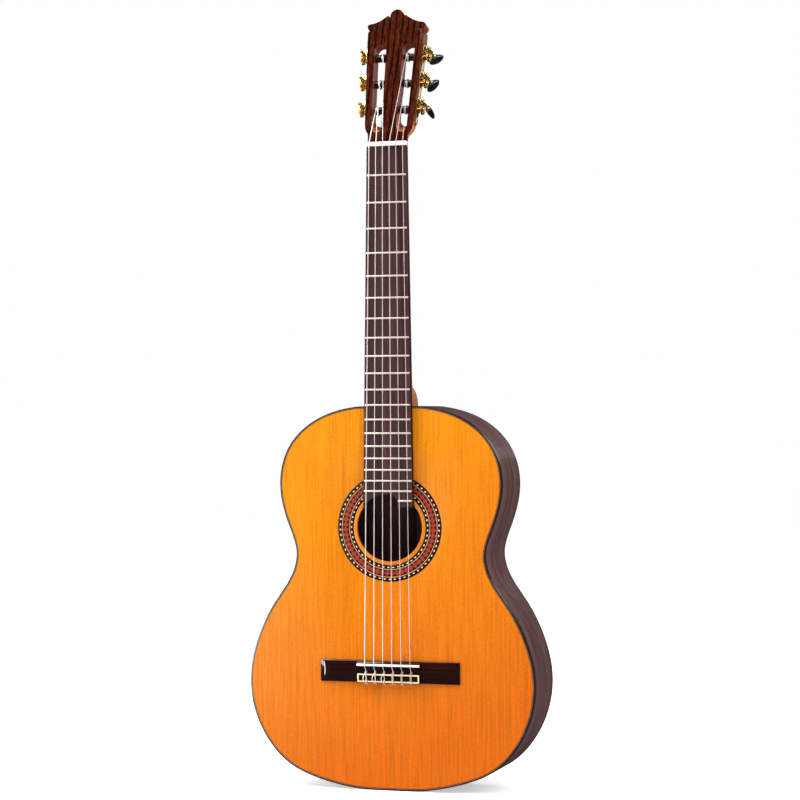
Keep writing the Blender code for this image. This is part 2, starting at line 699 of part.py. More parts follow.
def head_outline():
    """The whole head, seen on its face."""
    half = [(NUT_HALF, 0.0)] + HEAD_HALF_OUTLINE + [(0.0, 0.1790)]
    return half + [(-x, s) for x, s in reversed(half[:-1])]


def slot_cutter(side):
    """A long slot with round ends. Its lower end slopes, which makes the string ramp."""
    rings = []
    for depth, low in ((-0.001, SLOT_LOW_S - 0.0008), (HEAD_THICK + 0.001, SLOT_LOW_BACK_S + 0.0008)):
        radius_low, radius_top = SLOT_HALF_LOW, SLOT_HALF_TOP
        top = arc(radius_top, 0, 180, 10, (SLOT_CENTRE_TOP, SLOT_TOP_S - radius_top))
        bottom = arc(radius_low, 180, 360, 10, (SLOT_CENTRE_LOW, low + radius_low))
        rings.append([on_head(side * x, s, depth) for x, s in top + bottom])
    return loft(rings)


def groove_cutter(side, front=-0.001):
    """A carved V groove that narrows as it runs in from the side notch."""
    rings = []
    for x, half, deep in ((NOTCH_X + 0.004, 0.0022, 0.0022), (NOTCH_X, 0.0017, 0.0016),
                          (NOTCH_INNER_X, 0.0002, 0.0001)):
        rings.append([on_head(side * x, NOTCH_S - half, front), on_head(side * x, NOTCH_S + half, front),
                      on_head(side * x, NOTCH_S + half, 0), on_head(side * x, NOTCH_S, deep),
                      on_head(side * x, NOTCH_S - half, 0)])
    return loft(rings)


def build_neck(mat):
    """Shaft, heel and slotted head, carved from one piece."""
    end_depth = back_depth(0, BODY_TOP_Z) - CAP_THICK - GLUE_GAP
    end_front = (BODY_TOP_Z + GAP, end_depth)
    end_back = (BODY_TOP_Z + HEEL_REACH, end_depth)
    rings = [carved_section(end_front, end_back, HEEL_HALF_END)]
    for (rise, depth), (back_rise, back_deep) in reversed(HEEL_SWEEP):
        half = heel_half(depth, end_depth) if rise == GAP else board_half(BODY_TOP_Z + rise) - 0.0001
        rings.append(carved_section((BODY_TOP_Z + rise, depth), (BODY_TOP_Z + back_rise, back_deep), half))
    shaft = [BODY_TOP_Z + rise for rise in SHAFT_SECTIONS]
    for z in shaft + [NUT_FRONT_Z + offset for offset in TRANSITION_Z]:
        rings.append(carved_section((z, 0.0), (z, shaft_depth(z)), board_half(z) - 0.0001))
    face = HEADPLATE_THICK + GLUE_GAP
    for s, half, deep, power in HEAD_SECTIONS:
        rings.append(head_section(s, half, face, deep, power))
    neck = add_object("neck", loft(rings), mat)
    outline = [(x, s) for x, s in head_outline() if s > HEAD_SLAB_S]
    low_half = HEAD_SECTIONS[-1][1]
    outline = [(low_half, HEAD_SLAB_S)] + outline + [(-low_half, HEAD_SLAB_S)]
    unite(neck, add_object("head_slab", prism(outline, on_head, face, HEAD_THICK)))
    for side in (1, -1):
        cut(neck, add_object("slot_cutter", slot_cutter(side)))
    bores = bmesh.new()
    for side, station in stations():
        matrix = machine_matrix(side, station)
        narrow = JOURNAL_RADIUS + BORE_CLEARANCE
        wide = SHAFT_RADIUS + 2 * BORE_CLEARANCE
        bore = lathe([(narrow, JOURNAL_IN - GAP), (narrow, BORE_STEP), (wide, BORE_STEP), (wide, 0.004)])
        bmesh.ops.transform(bore, matrix=matrix, verts=bore.verts)
        merge_into(bores, bore)
    return cut(neck, add_object("bore_cutters", bores))


def merge_into(target, source):
    """Moves one bmesh's geometry into another."""
    mesh = bpy.data.meshes.new("part")
    source.to_mesh(mesh)
    source.free()
    target.from_mesh(mesh)
    bpy.data.meshes.remove(mesh)


def build_headplate(mat):
    """A thin veneer on the head's face, with the same outline and slots."""
    outline = head_outline()
    last = len(outline) - 1
    lean = math.tan(HEAD_TILT) * HEADPLATE_THICK
    rings = []
    for depth, shift in ((0.0, 0.0), (HEADPLATE_THICK, lean)):
        rings.append([on_head(x, s + (GAP + shift if i in (0, last) else 0), depth)
                      for i, (x, s) in enumerate(outline)])
    plate = add_object("headplate", loft(rings), mat)
    for side in (1, -1):
        cut(plate, add_object("slot_cutter", slot_cutter(side)))
        cut(plate, add_object("groove_cutter", groove_cutter(side)))
    return plate


def build_heel_cap(mat):
    """A thin cap on the heel's end, flush with the back."""
    depth = back_depth(0, BODY_TOP_Z) - CAP_THICK
    low, length = BODY_TOP_Z + GAP, HEEL_REACH - GAP
    outline = [(x, low + length * t) for x, t in full_section(section(HEEL_HALF_END))]
    return add_object("heel_cap", prism(outline, at_depth, depth, depth + CAP_THICK), mat)


def fret_z(number):
    return NUT_FRONT_Z - SCALE_LENGTH * (1 - 2 ** (-number / 12))


def fret_span(number):
    """Left and right ends of a fret. The last one sits on the treble tongue only."""
    half = board_half(fret_z(number)) - 0.0008
    left = TONGUE_X + 0.0006 if number == FRET_COUNT else -half
    return left, half


def hole_edge(x):
    """Where the fingerboard ends, just over the sound hole's edge."""
    radius = HOLE_RADIUS - BOARD_OVERHANG
    return HOLE_Z + math.sqrt(radius ** 2 - x * x)


def build_fingerboard(mat):
    """A tapered board. Its end follows the sound hole, apart from the tongue for the last fret."""
    top = NUT_FRONT_Z - GAP
    end_half = board_half(BOARD_END_Z)
    outline = [(board_half(top), top), (end_half, BOARD_END_Z), (TONGUE_X, BOARD_END_Z)]
    start_x = TONGUE_CURVE[0][0]
    outline += [(x, hole_edge(start_x) - drop) for x, drop in reversed(TONGUE_CURVE)]
    steps = 10
    for i in range(1, steps + 1):
        x = start_x - (start_x + end_half) * i / steps
        outline.append((x, hole_edge(x)))
    outline.append((-board_half(top), top))
    board = add_object("fingerboard", prism(outline, at_depth, -GLUE_GAP, -BOARD_THICK), mat)
    slots = bmesh.new()
    for number in range(1, FRET_COUNT + 1):
        left, right = fret_span(number)
        half = FRET_TANG / 2 + GLUE_GAP
        z = fret_z(number)
        low = (left - GLUE_GAP, TOP_Y - BOARD_THICK - 0.001, z - half)
        high = (right + GLUE_GAP, TOP_Y - BOARD_THICK + TANG_DEEP + GLUE_GAP, z + half)
        box(low, high, slots)
    cut(board, add_object("fret_slots", slots))
    rail_low, rail_high = rail_box(GLUE_GAP)
    rail_high = (rail_high[0], TOP_Y + 0.001, rail_high[2])
    return cut(board, add_object("rail_slot", box(rail_low, rail_high)))


def rail_box(grow):
    """Corners of the thin rail that ties the fret tangs together inside the fingerboard."""
    front = TOP_Y - BOARD_THICK + TANG_DEEP - 0.0004
    low = (TONGUE_X + 0.0015 - grow, front - grow, fret_z(FRET_COUNT) - FRET_TANG / 2 - grow)
    high = (TONGUE_X + 0.0025 + grow, front + 0.0010 + grow, fret_z(1) + FRET_TANG / 2 + grow)
    return low, high


def build_frets(mat):
    """Twenty T-section wires. A hidden rail joins them, so that they are one body."""
    frets = bmesh.new()
    for number in range(1, FRET_COUNT + 1):
        left, right = fret_span(number)
        z = fret_z(number)
        face = -BOARD_THICK - GLUE_GAP
        section = [
            (z - FRET_TANG / 2, face + TANG_DEEP), (z + FRET_TANG / 2, face + TANG_DEEP),
            (z + FRET_TANG / 2, face), (z + FRET_CROWN / 2, face), (z + FRET_CROWN * 0.32, face - FRET_HIGH),
            (z - FRET_CROWN * 0.32, face - FRET_HIGH), (z - FRET_CROWN / 2, face),
            (z - FRET_TANG / 2, face),
        ]
        place = lambda a, depth, x: at_depth(x, a, depth)
        prism(section, place, left, right, frets)
    wires = add_object("frets", frets, mat)
    return unite(wires, add_object("rail", box(*rail_box(0.0))))


def build_nut(mat):
    """A bone block with a sloping top and six string slots."""
    back = NUT_FRONT_Z + NUT_THICK
    crown = BOARD_THICK + STRING_OVER_BOARD + 0.0004
    profile = [(NUT_FRONT_Z, -GLUE_GAP), (back, -GLUE_GAP), (back, -crown + 0.0014),
               (back - 0.0012, -crown + 0.0004), (NUT_FRONT_Z + 0.0008, -crown),
               (NUT_FRONT_Z, -crown + 0.0006)]
    place = lambda z, depth, x: at_depth(x, z, depth)
    nut = add_object("nut", prism(profile, place, -NUT_HALF, NUT_HALF), mat)
    slots = bmesh.new()
    for number, x in enumerate(string_xs(NUT_SPREAD), 1):
        half = STRING_RADII[number - 1] + GLUE_GAP
        deep = BOARD_THICK + STRING_OVER_BOARD - STRING_RADII[number - 1] - GLUE_GAP
        rings = []
        for z, drop in ((NUT_FRONT_Z - 0.001, 0.0), (NUT_FRONT_Z + 0.001, 0.0), (back + 0.001, 0.0011)):
            floor = -deep + drop
            rings.append([at_depth(x - half, z, floor), at_depth(x + half, z, floor),
                          at_depth(x + half, z, -0.014), at_depth(x - half, z, -0.014)])
        loft(rings, slots)
    return cut(nut, add_object("string_slots", slots))


# ---- strings ----

def string_xs(spread):
    """Positions across the neck of strings 1 (treble) to 6."""
    return [spread * (0.5 - i / 5) for i in range(6)]


def coil_layout(number):
    """Side, station, the outward position where a string lands on its roller, and the coil's direction."""
    side = 1 if number <= 3 else -1
    station = {1: -1, 2: 0, 3: 1, 4: 1, 5: 0, 6: -1}[number]
    lands, grows = {-1: (-0.0128, -1), 0: (-0.0172, 1), 1: (-0.0205, 1)}[station]
    return side, station, lands, grows


def coil_points(number, start):
    """The string's windings round its roller. start is the point where it leaves the nut."""
    side, station, lands, grows = coil_layout(number)
    matrix = machine_matrix(side, station)
    radius = STRING_RADII[number - 1]
    steps, turns = 9, 2
    winding = (BARREL_RADIUS + 0.0001 + radius) / math.cos(math.pi / steps)
    front = Vector((0, -math.cos(HEAD_TILT), math.sin(HEAD_TILT)))
    outward = matrix.col[2].to_3d()
    up = matrix.col[0].to_3d()
    centre = matrix.translation + outward * lands
    offset = start - centre
    lean = math.atan2(offset.dot(up), offset.dot(front))
    flat = math.hypot(offset.dot(up), offset.dot(front))
    first = lean + math.acos(winding / flat)
    points = []
    for i in range(int(steps * turns) + 1):
        turn = 2 * math.pi * i / steps
        pitch = (2 * radius + 0.0002) * grows * turn / (2 * math.pi)
        angle = first + turn
        points.append(centre + outward * pitch + (front * math.cos(angle) + up * math.sin(angle)) * winding)
    return points


def build_strings(mats):
    """Each string runs from a loop on the tie block, over the saddle and the nut, to its roller."""
    for number in range(1, 7):
        radius = STRING_RADII[number - 1]
        x_saddle = string_xs(SADDLE_SPREAD)[number - 1]
        x_nut = string_xs(NUT_SPREAD)[number - 1]
        over_tie = -TIE_TOP - 0.0003 - radius
        hole = -TIE_HOLE_HIGH
        path = [
            at_depth(x_saddle + 0.0012, TIE_FRONT_Z - 0.0010, over_tie),
            at_depth(x_saddle + 0.0006, BRIDGE_TAIL_Z + 0.0004, over_tie),
            at_depth(x_saddle + 0.0003, BRIDGE_TAIL_Z - 0.0013, over_tie + 0.0012),
            at_depth(x_saddle, BRIDGE_TAIL_Z - 0.0013, hole - 0.0008),
            at_depth(x_saddle, BRIDGE_TAIL_Z - 0.0002, hole),
            at_depth(x_saddle, TIE_FRONT_Z + 0.0004, hole),
            at_depth(x_saddle, SADDLE_Z - SADDLE_THICK / 2 - 0.0003, -SADDLE_TOP - radius + 0.0004),
            at_depth(x_saddle, SADDLE_Z, -SADDLE_TOP - radius - 0.00015),
        ]
        nut_centre = -BOARD_THICK - STRING_OVER_BOARD
        path.append(at_depth(x_nut, NUT_FRONT_Z + 0.0008, nut_centre))
        leave = at_depth(x_nut, NUT_FRONT_Z + NUT_THICK, nut_centre + 0.0009)
        path.append(leave)
        path += coil_points(number, leave)
        name = "string_%d" % number
        add_object(name, tube(path, radius), mats["wound" if number > 3 else "nylon"])


# ---- tuning machines ----

def stations():
    """Side (+1 treble, -1 bass) and place along the head of each roller."""
    return [(side, station) for side in (1, -1) for station in (-1, 0, 1)]


def machine_number(side, station):
    """The string that a roller carries."""
    return 2 + station if side == 1 else 5 - station


def side_tangent(side):
    up = on_head(0, 1, 0) - on_head(0, 0, 0)
    return up * math.cos(SIDE_LEAN) + Vector((side * math.sin(SIDE_LEAN), 0, 0))


def machine_matrix(side, station):
    """A roller's frame: X up along the head's side, Z outwards along the roller, origin on the side face."""
    along = side_tangent(side)
    front = Vector((0, -math.cos(HEAD_TILT), math.sin(HEAD_TILT)))
    outward = front.cross(along) * -side
    middle = on_head(side * SIDE_HALF_AT_MIDDLE, MIDDLE_ROLLER_S, ROLLER_DEPTH)
    origin = middle + along * (ROLLER_SPACING * station)
    return frame_matrix(origin, along, outward)


def worm_matrix(side, station):
    """A worm's frame: Z out of the head's face, X up along the head's side."""
    roller = machine_matrix(side, station)
    along = roller.col[0].to_3d()
    front = Vector((0, -math.cos(HEAD_TILT), math.sin(HEAD_TILT)))
    pitch_radius = MODULE * GEAR_TEETH / 2
    origin = roller @ Vector((pitch_radius + WORM_PITCH_RADIUS + 0.00005, 0, WORM_OUT))
    return frame_matrix(origin, along, front)


def frame_matrix(origin, x_axis, z_axis):
    y_axis = z_axis.cross(x_axis)
    matrix = Matrix((x_axis, y_axis, z_axis)).transposed().to_4x4()
    matrix.translation = origin
    return matrix


def roller_mesh():
    """The string barrel, its inner journal, the shaft through the head's wall and the gear's stub."""
    profile = [
        (JOURNAL_RADIUS, JOURNAL_IN), (JOURNAL_RADIUS, BARREL_IN), (BARREL_RADIUS, BARREL_IN),
        (BARREL_RADIUS, BARREL_OUT), (SHAFT_RADIUS, BARREL_OUT), (SHAFT_RADIUS, PLATE_THICK + PLATE_GAP),
        (STUB_RADIUS, PLATE_THICK + PLATE_GAP), (STUB_RADIUS, WORM_OUT + GEAR_WIDE / 2 - 0.0004),
    ]
    return lathe(profile)


def gear_mesh():
    """A toothed wheel on a hub. The teeth lean to match the worm's thread."""
    pitch_radius = MODULE * GEAR_TEETH / 2
    lean = MODULE / 2 / WORM_PITCH_RADIUS / pitch_radius
    half_angle = TOOTH_THICK / 2 / pitch_radius
    rings = []
    for level in (-GEAR_WIDE / 2, GEAR_WIDE / 2):
        ring = []
        for tooth in range(GEAR_TEETH):
            middle = 2 * math.pi * tooth / GEAR_TEETH + lean * level
            for radius, sign in ((GEAR_ROOT, -1), (GEAR_TIP, -1), (GEAR_TIP, 1), (GEAR_ROOT, 1)):
                half = half_angle - (radius - pitch_radius) * FLANK / pitch_radius
                angle = middle + sign * half
                ring.append(Vector((radius * math.cos(angle), radius * math.sin(angle), level + WORM_OUT)))
        rings.append(ring)
    gear = add_object("gear_blank", loft(rings))
    hub_start = PLATE_THICK + PLATE_GAP + 0.00015
    hub = lathe([(GEAR_HUB, hub_start), (GEAR_HUB, WORM_OUT - GEAR_WIDE / 2 + 0.0005)])
    unite(gear, add_object("hub", hub))
    bore_radius = STUB_RADIUS + GLUE_GAP
    bore = lathe([(bore_radius, 0.0), (bore_radius, WORM_OUT + GEAR_WIDE)])
    cut(gear, add_object("gear_bore", bore))
    bm = bmesh.new()
    bm.from_mesh(gear.data)
    bpy.data.objects.remove(gear, do_unlink=True)
    return bm


def worm_mesh():
    """A right-handed screw thread cut on a shaft, with a ball at the front and a ferrule and tang behind."""
    lead = math.pi * MODULE
    half_tip = TOOTH_THICK / 2 - (WORM_TIP - WORM_PITCH_RADIUS) * FLANK
    half_root = TOOTH_THICK / 2 - (WORM_ROOT - WORM_PITCH_RADIUS) * FLANK
    flanks = [(WORM_ROOT, -half_root), (WORM_TIP, -half_tip), (WORM_TIP, half_tip), (WORM_ROOT, half_root)]
    total = WORM_TURNS * WORM_STEPS
    bm = bmesh.new()
    thread = []
    for step in range(total + 1):
        turn = step / WORM_STEPS - WORM_TURNS / 2
        angle = 2 * math.pi * turn
        thread.append([bm.verts.new((r * math.cos(angle), r * math.sin(angle), lead * turn + offset))
                       for r, offset in flanks])
    for low, high in zip(thread, thread[1:]):
        for i in range(3):
            bm.faces.new((low[i], high[i], high[i + 1], low[i + 1]))
    for step in range(total - WORM_STEPS):
        above = step + WORM_STEPS
        bm.faces.new((thread[step][3], thread[step + 1][3], thread[above + 1][0], thread[above][0]))
    start = 2 * math.pi * (-WORM_TURNS / 2)
    bottom = worm_end(bm, [line[0] for line in thread[:WORM_STEPS + 1]], thread[0], -1, start)
    top = worm_end(bm, [line[3] for line in thread[total - WORM_STEPS:]], thread[-1], 1, start)
    ball = [(BALL_RADIUS * math.sin(t), BALL_CENTRE - BALL_RADIUS * math.cos(t))
            for t in [math.radians(a) for a in (38, 75, 110, 150)]]
    shaft_rings(bm, top, [(WORM_SHAFT, WORM_HALF), (WORM_SHAFT, EAR_OUTER)] + ball, start)
    behind = [(WORM_SHAFT, -WORM_HALF), (WORM_SHAFT, -FERRULE_START),
              (FERRULE_RADIUS * 0.75, -FERRULE_START), (FERRULE_RADIUS, -FERRULE_END),
              (TANG_RADIUS, -FERRULE_END), (TANG_RADIUS, -TANG_END)]
    shaft_rings(bm, bottom, behind, start)
    return bm


def worm_end(bm, helix, end_line, direction, start):
    """Closes one end of the thread: a wall between the last turn of its root line and a flat ring."""
    ring = [bm.verts.new((WORM_ROOT * math.cos(start + 2 * math.pi * i / WORM_STEPS),
                          WORM_ROOT * math.sin(start + 2 * math.pi * i / WORM_STEPS), direction * WORM_HALF))
            for i in range(WORM_STEPS)]
    for i in range(WORM_STEPS - 1):
        if direction < 0 or i > 0:
            bm.faces.new((ring[i], ring[i + 1], helix[i + 1], helix[i]))
    bm.faces.new(end_line)
    if direction < 0:
        bm.faces.new((ring[-1], ring[0], end_line[0], end_line[3], helix[-1], helix[-2]))
    else:
        bm.faces.new((ring[0], ring[1], helix[1], helix[0], end_line[0], end_line[3]))
        bm.faces.new((ring[-1], ring[0], helix[-1], helix[-2]))
    return ring


def shaft_rings(bm, first, profile, start):
    """Carries the worm's end ring on through a turned profile and closes it."""
    previous = first
    for radius, z in profile:
        ring = [bm.verts.new((radius * math.cos(start + 2 * math.pi * i / WORM_STEPS),
                              radius * math.sin(start + 2 * math.pi * i / WORM_STEPS), z))
                for i in range(WORM_STEPS)]
        for i in range(WORM_STEPS):
            j = (i + 1) % WORM_STEPS
            bm.faces.new((previous[i], previous[j], ring[j], ring[i]))
        previous = ring
    bm.faces.new(previous)


def button_mesh():
    """A flat oval knob with a blind bore for the worm's tang."""
    rings = []
    for below, half_wide, half_thick in BUTTON_HALF_SECTIONS:
        z = -FERRULE_END - below
        rings.append([Vector((half_wide * x, half_thick * y, z)) for x, y in circle(1.0, 12)])
    button = add_object("button_blank", loft(rings))
    bore_radius = TANG_RADIUS + GLUE_GAP
    bore = lathe([(bore_radius, -FERRULE_END + 0.001), (bore_radius, -TANG_END - GAP)], WORM_STEPS)
    cut(button, add_object("button_bore", bore))
    bm = bmesh.new()
    bm.from_mesh(button.data)
    bpy.data.objects.remove(button, do_unlink=True)
    return bm


def build_machines(mats):
    """Six rollers with their gears and six worms with their buttons, with origins on the joints' axes."""
    roller = mesh_from(roller_mesh(), "roller", mats["roller"])
    gear = mesh_from(gear_mesh(), "gear", mats["brass"])
    worm = mesh_from(worm_mesh(), "worm", mats["gold"])
    button = mesh_from(button_mesh(), "button", mats["button"])
    for side, station in stations():
        number = machine_number(side, station)
        place_copy("roller_%d" % number, roller, machine_matrix(side, station))
        place_copy("gear_%d" % number, gear, machine_matrix(side, station))
        place_copy("worm_%d" % number, worm, worm_matrix(side, station))
        turned = worm_matrix(side, station) @ Matrix.Rotation(math.radians(BUTTON_TURNS[number]), 4, "Z")
        place_copy("button_%d" % number, button, turned)


def mesh_from(bm, name, mat):
    obj = add_object(name + "_mesh", bm, mat)
    mesh = obj.data
    bpy.data.objects.remove(obj, do_unlink=True)
    return mesh


def place_copy(name, mesh, matrix):
    obj = bpy.data.objects.new(name, mesh)
    obj.matrix_world = matrix
    bpy.context.scene.collection.objects.link(obj)
    return obj


def plate_outline():
    """The plate's edge: wide at each machine, narrow between them, pointed at the ends."""
    edge = [(PLATE_LOW, 0.0008), (PLATE_LOW + 0.006, 0.0030)]
    for station in (-1, 0, 1):
        middle = station * ROLLER_SPACING
        edge += [(middle - 0.0090, PLATE_WAIST), (middle - 0.0062, PLATE_HALF),
                 (middle + 0.0130, PLATE_HALF), (middle + 0.0158, PLATE_WAIST)]
    edge[-1] = (edge[-1][0], 0.0042)
    edge.append((PLATE_TOP, 0.0010))
    return edge + [(along, -half) for along, half in reversed(edge)]


def build_plate(name, mat, side):
    """A plate on the head's side face, with two ears for each worm."""
    frame = machine_matrix(side, 0)
    front_sign = 1 if side == 1 else -1
    place = lambda a, b, level: frame @ Vector((a, b, level))
    outline = plate_outline()
    plate = add_object(name, prism(outline, place, PLATE_GAP, PLATE_THICK + PLATE_GAP), mat)
    worm_offset = MODULE * GEAR_TEETH / 2 + WORM_PITCH_RADIUS + 0.00005
    holes = bmesh.new()
    for station in (-1, 0, 1):
        middle = station * ROLLER_SPACING
        prism(circle(SHAFT_RADIUS + BORE_CLEARANCE, ROUND, (middle, 0)), place, -0.001, 0.004, holes)
        ear = [(middle + worm_offset + EAR_HALF, 0.0005), (middle + worm_offset + EAR_HALF, WORM_OUT)]
        ear += arc(EAR_HALF, 40, 140, 2, (middle + worm_offset, WORM_OUT))
        ear += [(middle + worm_offset - EAR_HALF, WORM_OUT), (middle + worm_offset - EAR_HALF, 0.0005)]
        upright = lambda a, out, b: frame @ Vector((a, b * front_sign, out))
        for near, far in ((EAR_INNER, EAR_OUTER), (-EAR_OUTER, -EAR_INNER)):
            unite(plate, add_object("ear", prism(ear, upright, near, far)))
        bore = circle(WORM_SHAFT + 2 * BORE_CLEARANCE, WORM_STEPS, (middle + worm_offset, WORM_OUT))
        prism(bore, upright, -0.008, 0.008, holes)
    return cut(plate, add_object("plate_holes", holes))


# ---- assembly ----

def build_guitar():
    clear_scene()
    cedar = material("cedar", (0.86, 0.36, 0.07), 0.25)
    rosewood = material("rosewood", (0.085, 0.035, 0.03), 0.3)
    mahogany = material("mahogany", (0.30, 0.12, 0.055), 0.35)
    spruce = material("spruce", (0.78, 0.58, 0.34), 0.6)
    bone = material("bone", (0.88, 0.85, 0.76), 0.35)
    brass = material("brass", (0.80, 0.58, 0.26), 0.3, 1.0)
    black = material("black_plastic", (0.012, 0.012, 0.014), 0.2)
    build_soundboard(cedar)
    rosette = ring_solid(ROSETTE_INNER, ROSETTE_OUTER, 0.0, ROSETTE_DEEP)
    add_object("rosette", rosette, material("rosette_mosaic", (0.28, 0.08, 0.04), 0.35))
    build_back(material("back_rosewood", (0.09, 0.04, 0.032), 0.3))
    binding = material("binding", (0.02, 0.013, 0.012), 0.3)
    build_edge_strip("top_binding", binding, 0.0, BINDING_WIDE, flat_front, binding_back)
    build_edge_strip("top_purfling", material("purfling", (0.05, 0.018, 0.015), 0.3),
                     BINDING_WIDE + GLUE_GAP, PURFLING_WIDE, flat_front, purfling_back)
    build_edge_strip("back_binding", binding, 0.0, BINDING_WIDE, back_binding_front, back_depth)
    build_sides(rosewood, material("graft", (0.03, 0.02, 0.018), 0.3))
    build_linings(spruce)
    build_block("tail_block", mahogany, True, 0.040, 0.015)
    build_block("heel_block", mahogany, False, 0.040, 0.026)
    build_harmonic_bar("harmonic_bar_upper", spruce, 0.3865)
    build_harmonic_bar("harmonic_bar_lower", spruce, 0.2740)
    build_fan_bracing(spruce)
    build_back_bracing(spruce)
    build_bridge(rosewood)
    build_saddle(bone)
    add_object("tie_block_trim", trim_frame(0.0), material("cream_trim", (0.85, 0.78, 0.60), 0.35))
    build_neck(mahogany)
    build_heel_cap(rosewood)
    build_headplate(material("headplate_rosewood", (0.13, 0.045, 0.03), 0.15))
    build_fingerboard(material("fingerboard_rosewood", (0.10, 0.05, 0.045), 0.4))
    build_frets(material("fret_wire", (0.80, 0.80, 0.80), 0.25, 1.0))
    build_nut(bone)
    build_strings({"wound": material("wound_string", (0.75, 0.74, 0.70), 0.3, 1.0),
                   "nylon": material("nylon_string", (0.85, 0.78, 0.75), 0.2)})
    for name, side in (("tuner_plate_treble", 1), ("tuner_plate_bass", -1)):
        build_plate(name, material(name, (0.83, 0.60, 0.25), 0.25, 1.0), side)
    button = material("button_black", (0.015, 0.012, 0.012), 0.15)
    gold = material("worm_gold", (0.83, 0.60, 0.25), 0.25, 1.0)
    build_machines({"roller": black, "brass": brass, "button": button, "gold": gold})


build_guitar()
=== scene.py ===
"""The looks of the classical guitar: fine meshes and procedural finishes around its CAD frame.

The frame, in metres: +Z runs up the neck, -Y points out of the soundboard and +X is the treble side. "Deep"
is measured backwards from the soundboard's face and "high" is measured out of it.
"""

import json
import math

import bmesh
import bpy
import numpy as np
from mathutils import Matrix, Vector


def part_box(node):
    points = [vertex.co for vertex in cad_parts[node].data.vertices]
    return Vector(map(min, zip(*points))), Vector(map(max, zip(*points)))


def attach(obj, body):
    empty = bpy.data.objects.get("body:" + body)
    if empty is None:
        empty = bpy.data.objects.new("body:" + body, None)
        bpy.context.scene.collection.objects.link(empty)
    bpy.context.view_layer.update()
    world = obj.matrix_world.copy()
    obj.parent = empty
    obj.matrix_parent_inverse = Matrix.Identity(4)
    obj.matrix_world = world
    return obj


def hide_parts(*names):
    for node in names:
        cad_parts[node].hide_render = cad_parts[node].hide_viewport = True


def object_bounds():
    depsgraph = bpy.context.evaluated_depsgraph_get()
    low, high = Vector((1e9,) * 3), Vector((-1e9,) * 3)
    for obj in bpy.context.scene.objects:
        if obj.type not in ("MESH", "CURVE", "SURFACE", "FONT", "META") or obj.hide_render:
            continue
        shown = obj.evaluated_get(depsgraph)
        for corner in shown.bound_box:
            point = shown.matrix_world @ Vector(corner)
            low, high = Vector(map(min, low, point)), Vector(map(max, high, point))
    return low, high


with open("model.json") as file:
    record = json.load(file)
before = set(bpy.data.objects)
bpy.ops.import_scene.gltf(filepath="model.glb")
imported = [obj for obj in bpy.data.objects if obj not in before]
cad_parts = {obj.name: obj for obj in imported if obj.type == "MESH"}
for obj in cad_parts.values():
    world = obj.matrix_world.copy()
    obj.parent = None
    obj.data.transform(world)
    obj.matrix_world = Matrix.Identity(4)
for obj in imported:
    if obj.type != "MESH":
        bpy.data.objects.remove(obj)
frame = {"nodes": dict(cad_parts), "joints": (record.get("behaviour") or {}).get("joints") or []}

cad_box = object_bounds()

# ---- places read from the frame ----
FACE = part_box("soundboard")[0].y
TOP_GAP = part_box("top_binding")[1].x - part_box("soundboard")[1].x    # from the body's edge to the soundboard's
HOLE_Z = sum(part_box("rosette"), Vector()).z / 2
HOLE = Vector((0, HOLE_Z))
ROSETTE_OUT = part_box("rosette")[1].x
JOINTS = {j["name"]: j for j in frame["joints"]}
BOARD_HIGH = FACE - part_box("fingerboard")[0].y
NUT_LOW, NUT_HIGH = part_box("nut")
SADDLE_LOW, SADDLE_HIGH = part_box("saddle")
SADDLE_Z = (SADDLE_LOW.z + SADDLE_HIGH.z) / 2
BRIDGE_LOW, BRIDGE_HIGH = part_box("bridge")
TRIM_LOW, TRIM_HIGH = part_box("tie_block_trim")

# ---- sizes of the fine detail ----
CURVE_STEPS = 5             # fine steps for each stretch of the CAD outline
BINDING_TALL = 0.0055
BINDING_ROUND = 0.0007
BINDING_WIDE = 0.0017
PURFLING = (0.00178, 0.00230, 0.00292)  # from the rim: where its pale line starts, its dark line, its end
PURFLING_TALL = 0.0019
BACK_THICK = 0.0025
SIDE_THICK = 0.0020
TOP_THICK = 0.0023
SIDE_LEVELS = 7             # points across a side, from the front binding to the back one
HOLE_STEPS = 128
HOLE_MOST = 0.0445          # the soundboard's points nearer than this to the hole's middle are on its rim
ROSETTE_THICK = 0.0011
CHANNEL_DEEP = 0.0012
ROSETTE_BANDS = [           # (start, end) as shares of the ring's width, and what fills it
    (0.000, 0.030, "tile_maroon"), (0.030, 0.245, "grains_49"), (0.245, 0.285, "tile_orange"),
    (0.285, 0.305, "tile_maroon"), (0.305, 0.685, "diamonds"), (0.685, 0.705, "tile_maroon"),
    (0.705, 0.745, "tile_orange"), (0.745, 0.965, "grains_62"), (0.965, 1.000, "tile_maroon"),
]
DIAMONDS = 56
WING_CHAMFER = 0.0018
TIE_FRONT = TRIM_HIGH.z + 0.0004    # the edge of the tie block that looks at the saddle
TIE_HOLE = 0.0009
TIE_HOLE_HIGH = 0.0048
TRIM_WIDE = 0.0017
RIDGE_HALF = 0.0032         # the ridge that holds the saddle
FRET_HALF = 0.0011
FRET_APART = 0.004          # points of the CAD frets that are nearer than this are on the same fret
FIRST_WOUND = 4             # strings 4 to 6 are wound with wire
AT_NUT = NUT_LOW.z + 0.0008     # a height within the nut
ROLLER_SIDES = 40
STRING_SIDES = 10
COIL_TURNS = 2
COIL_STEPS = 20
COIL_REACH = 0.0066         # a string's points nearer than this to the roller's axis belong to its windings
TOUCH = 0.00005             # the gap between a string and what it lies on
SCREW_FACE = 0.00165        # the plates' outer face, outwards from the roller's origin


# ---- shader helpers ----

def srgb(red, green, blue):
    """A linear colour from the 0-255 values that a screen shows."""
    channels = []
    for value in (red, green, blue):
        c = value / 255
        channels.append(c / 12.92 if c <= 0.04045 else ((c + 0.055) / 1.055) ** 2.4)
    return (*channels, 1.0)


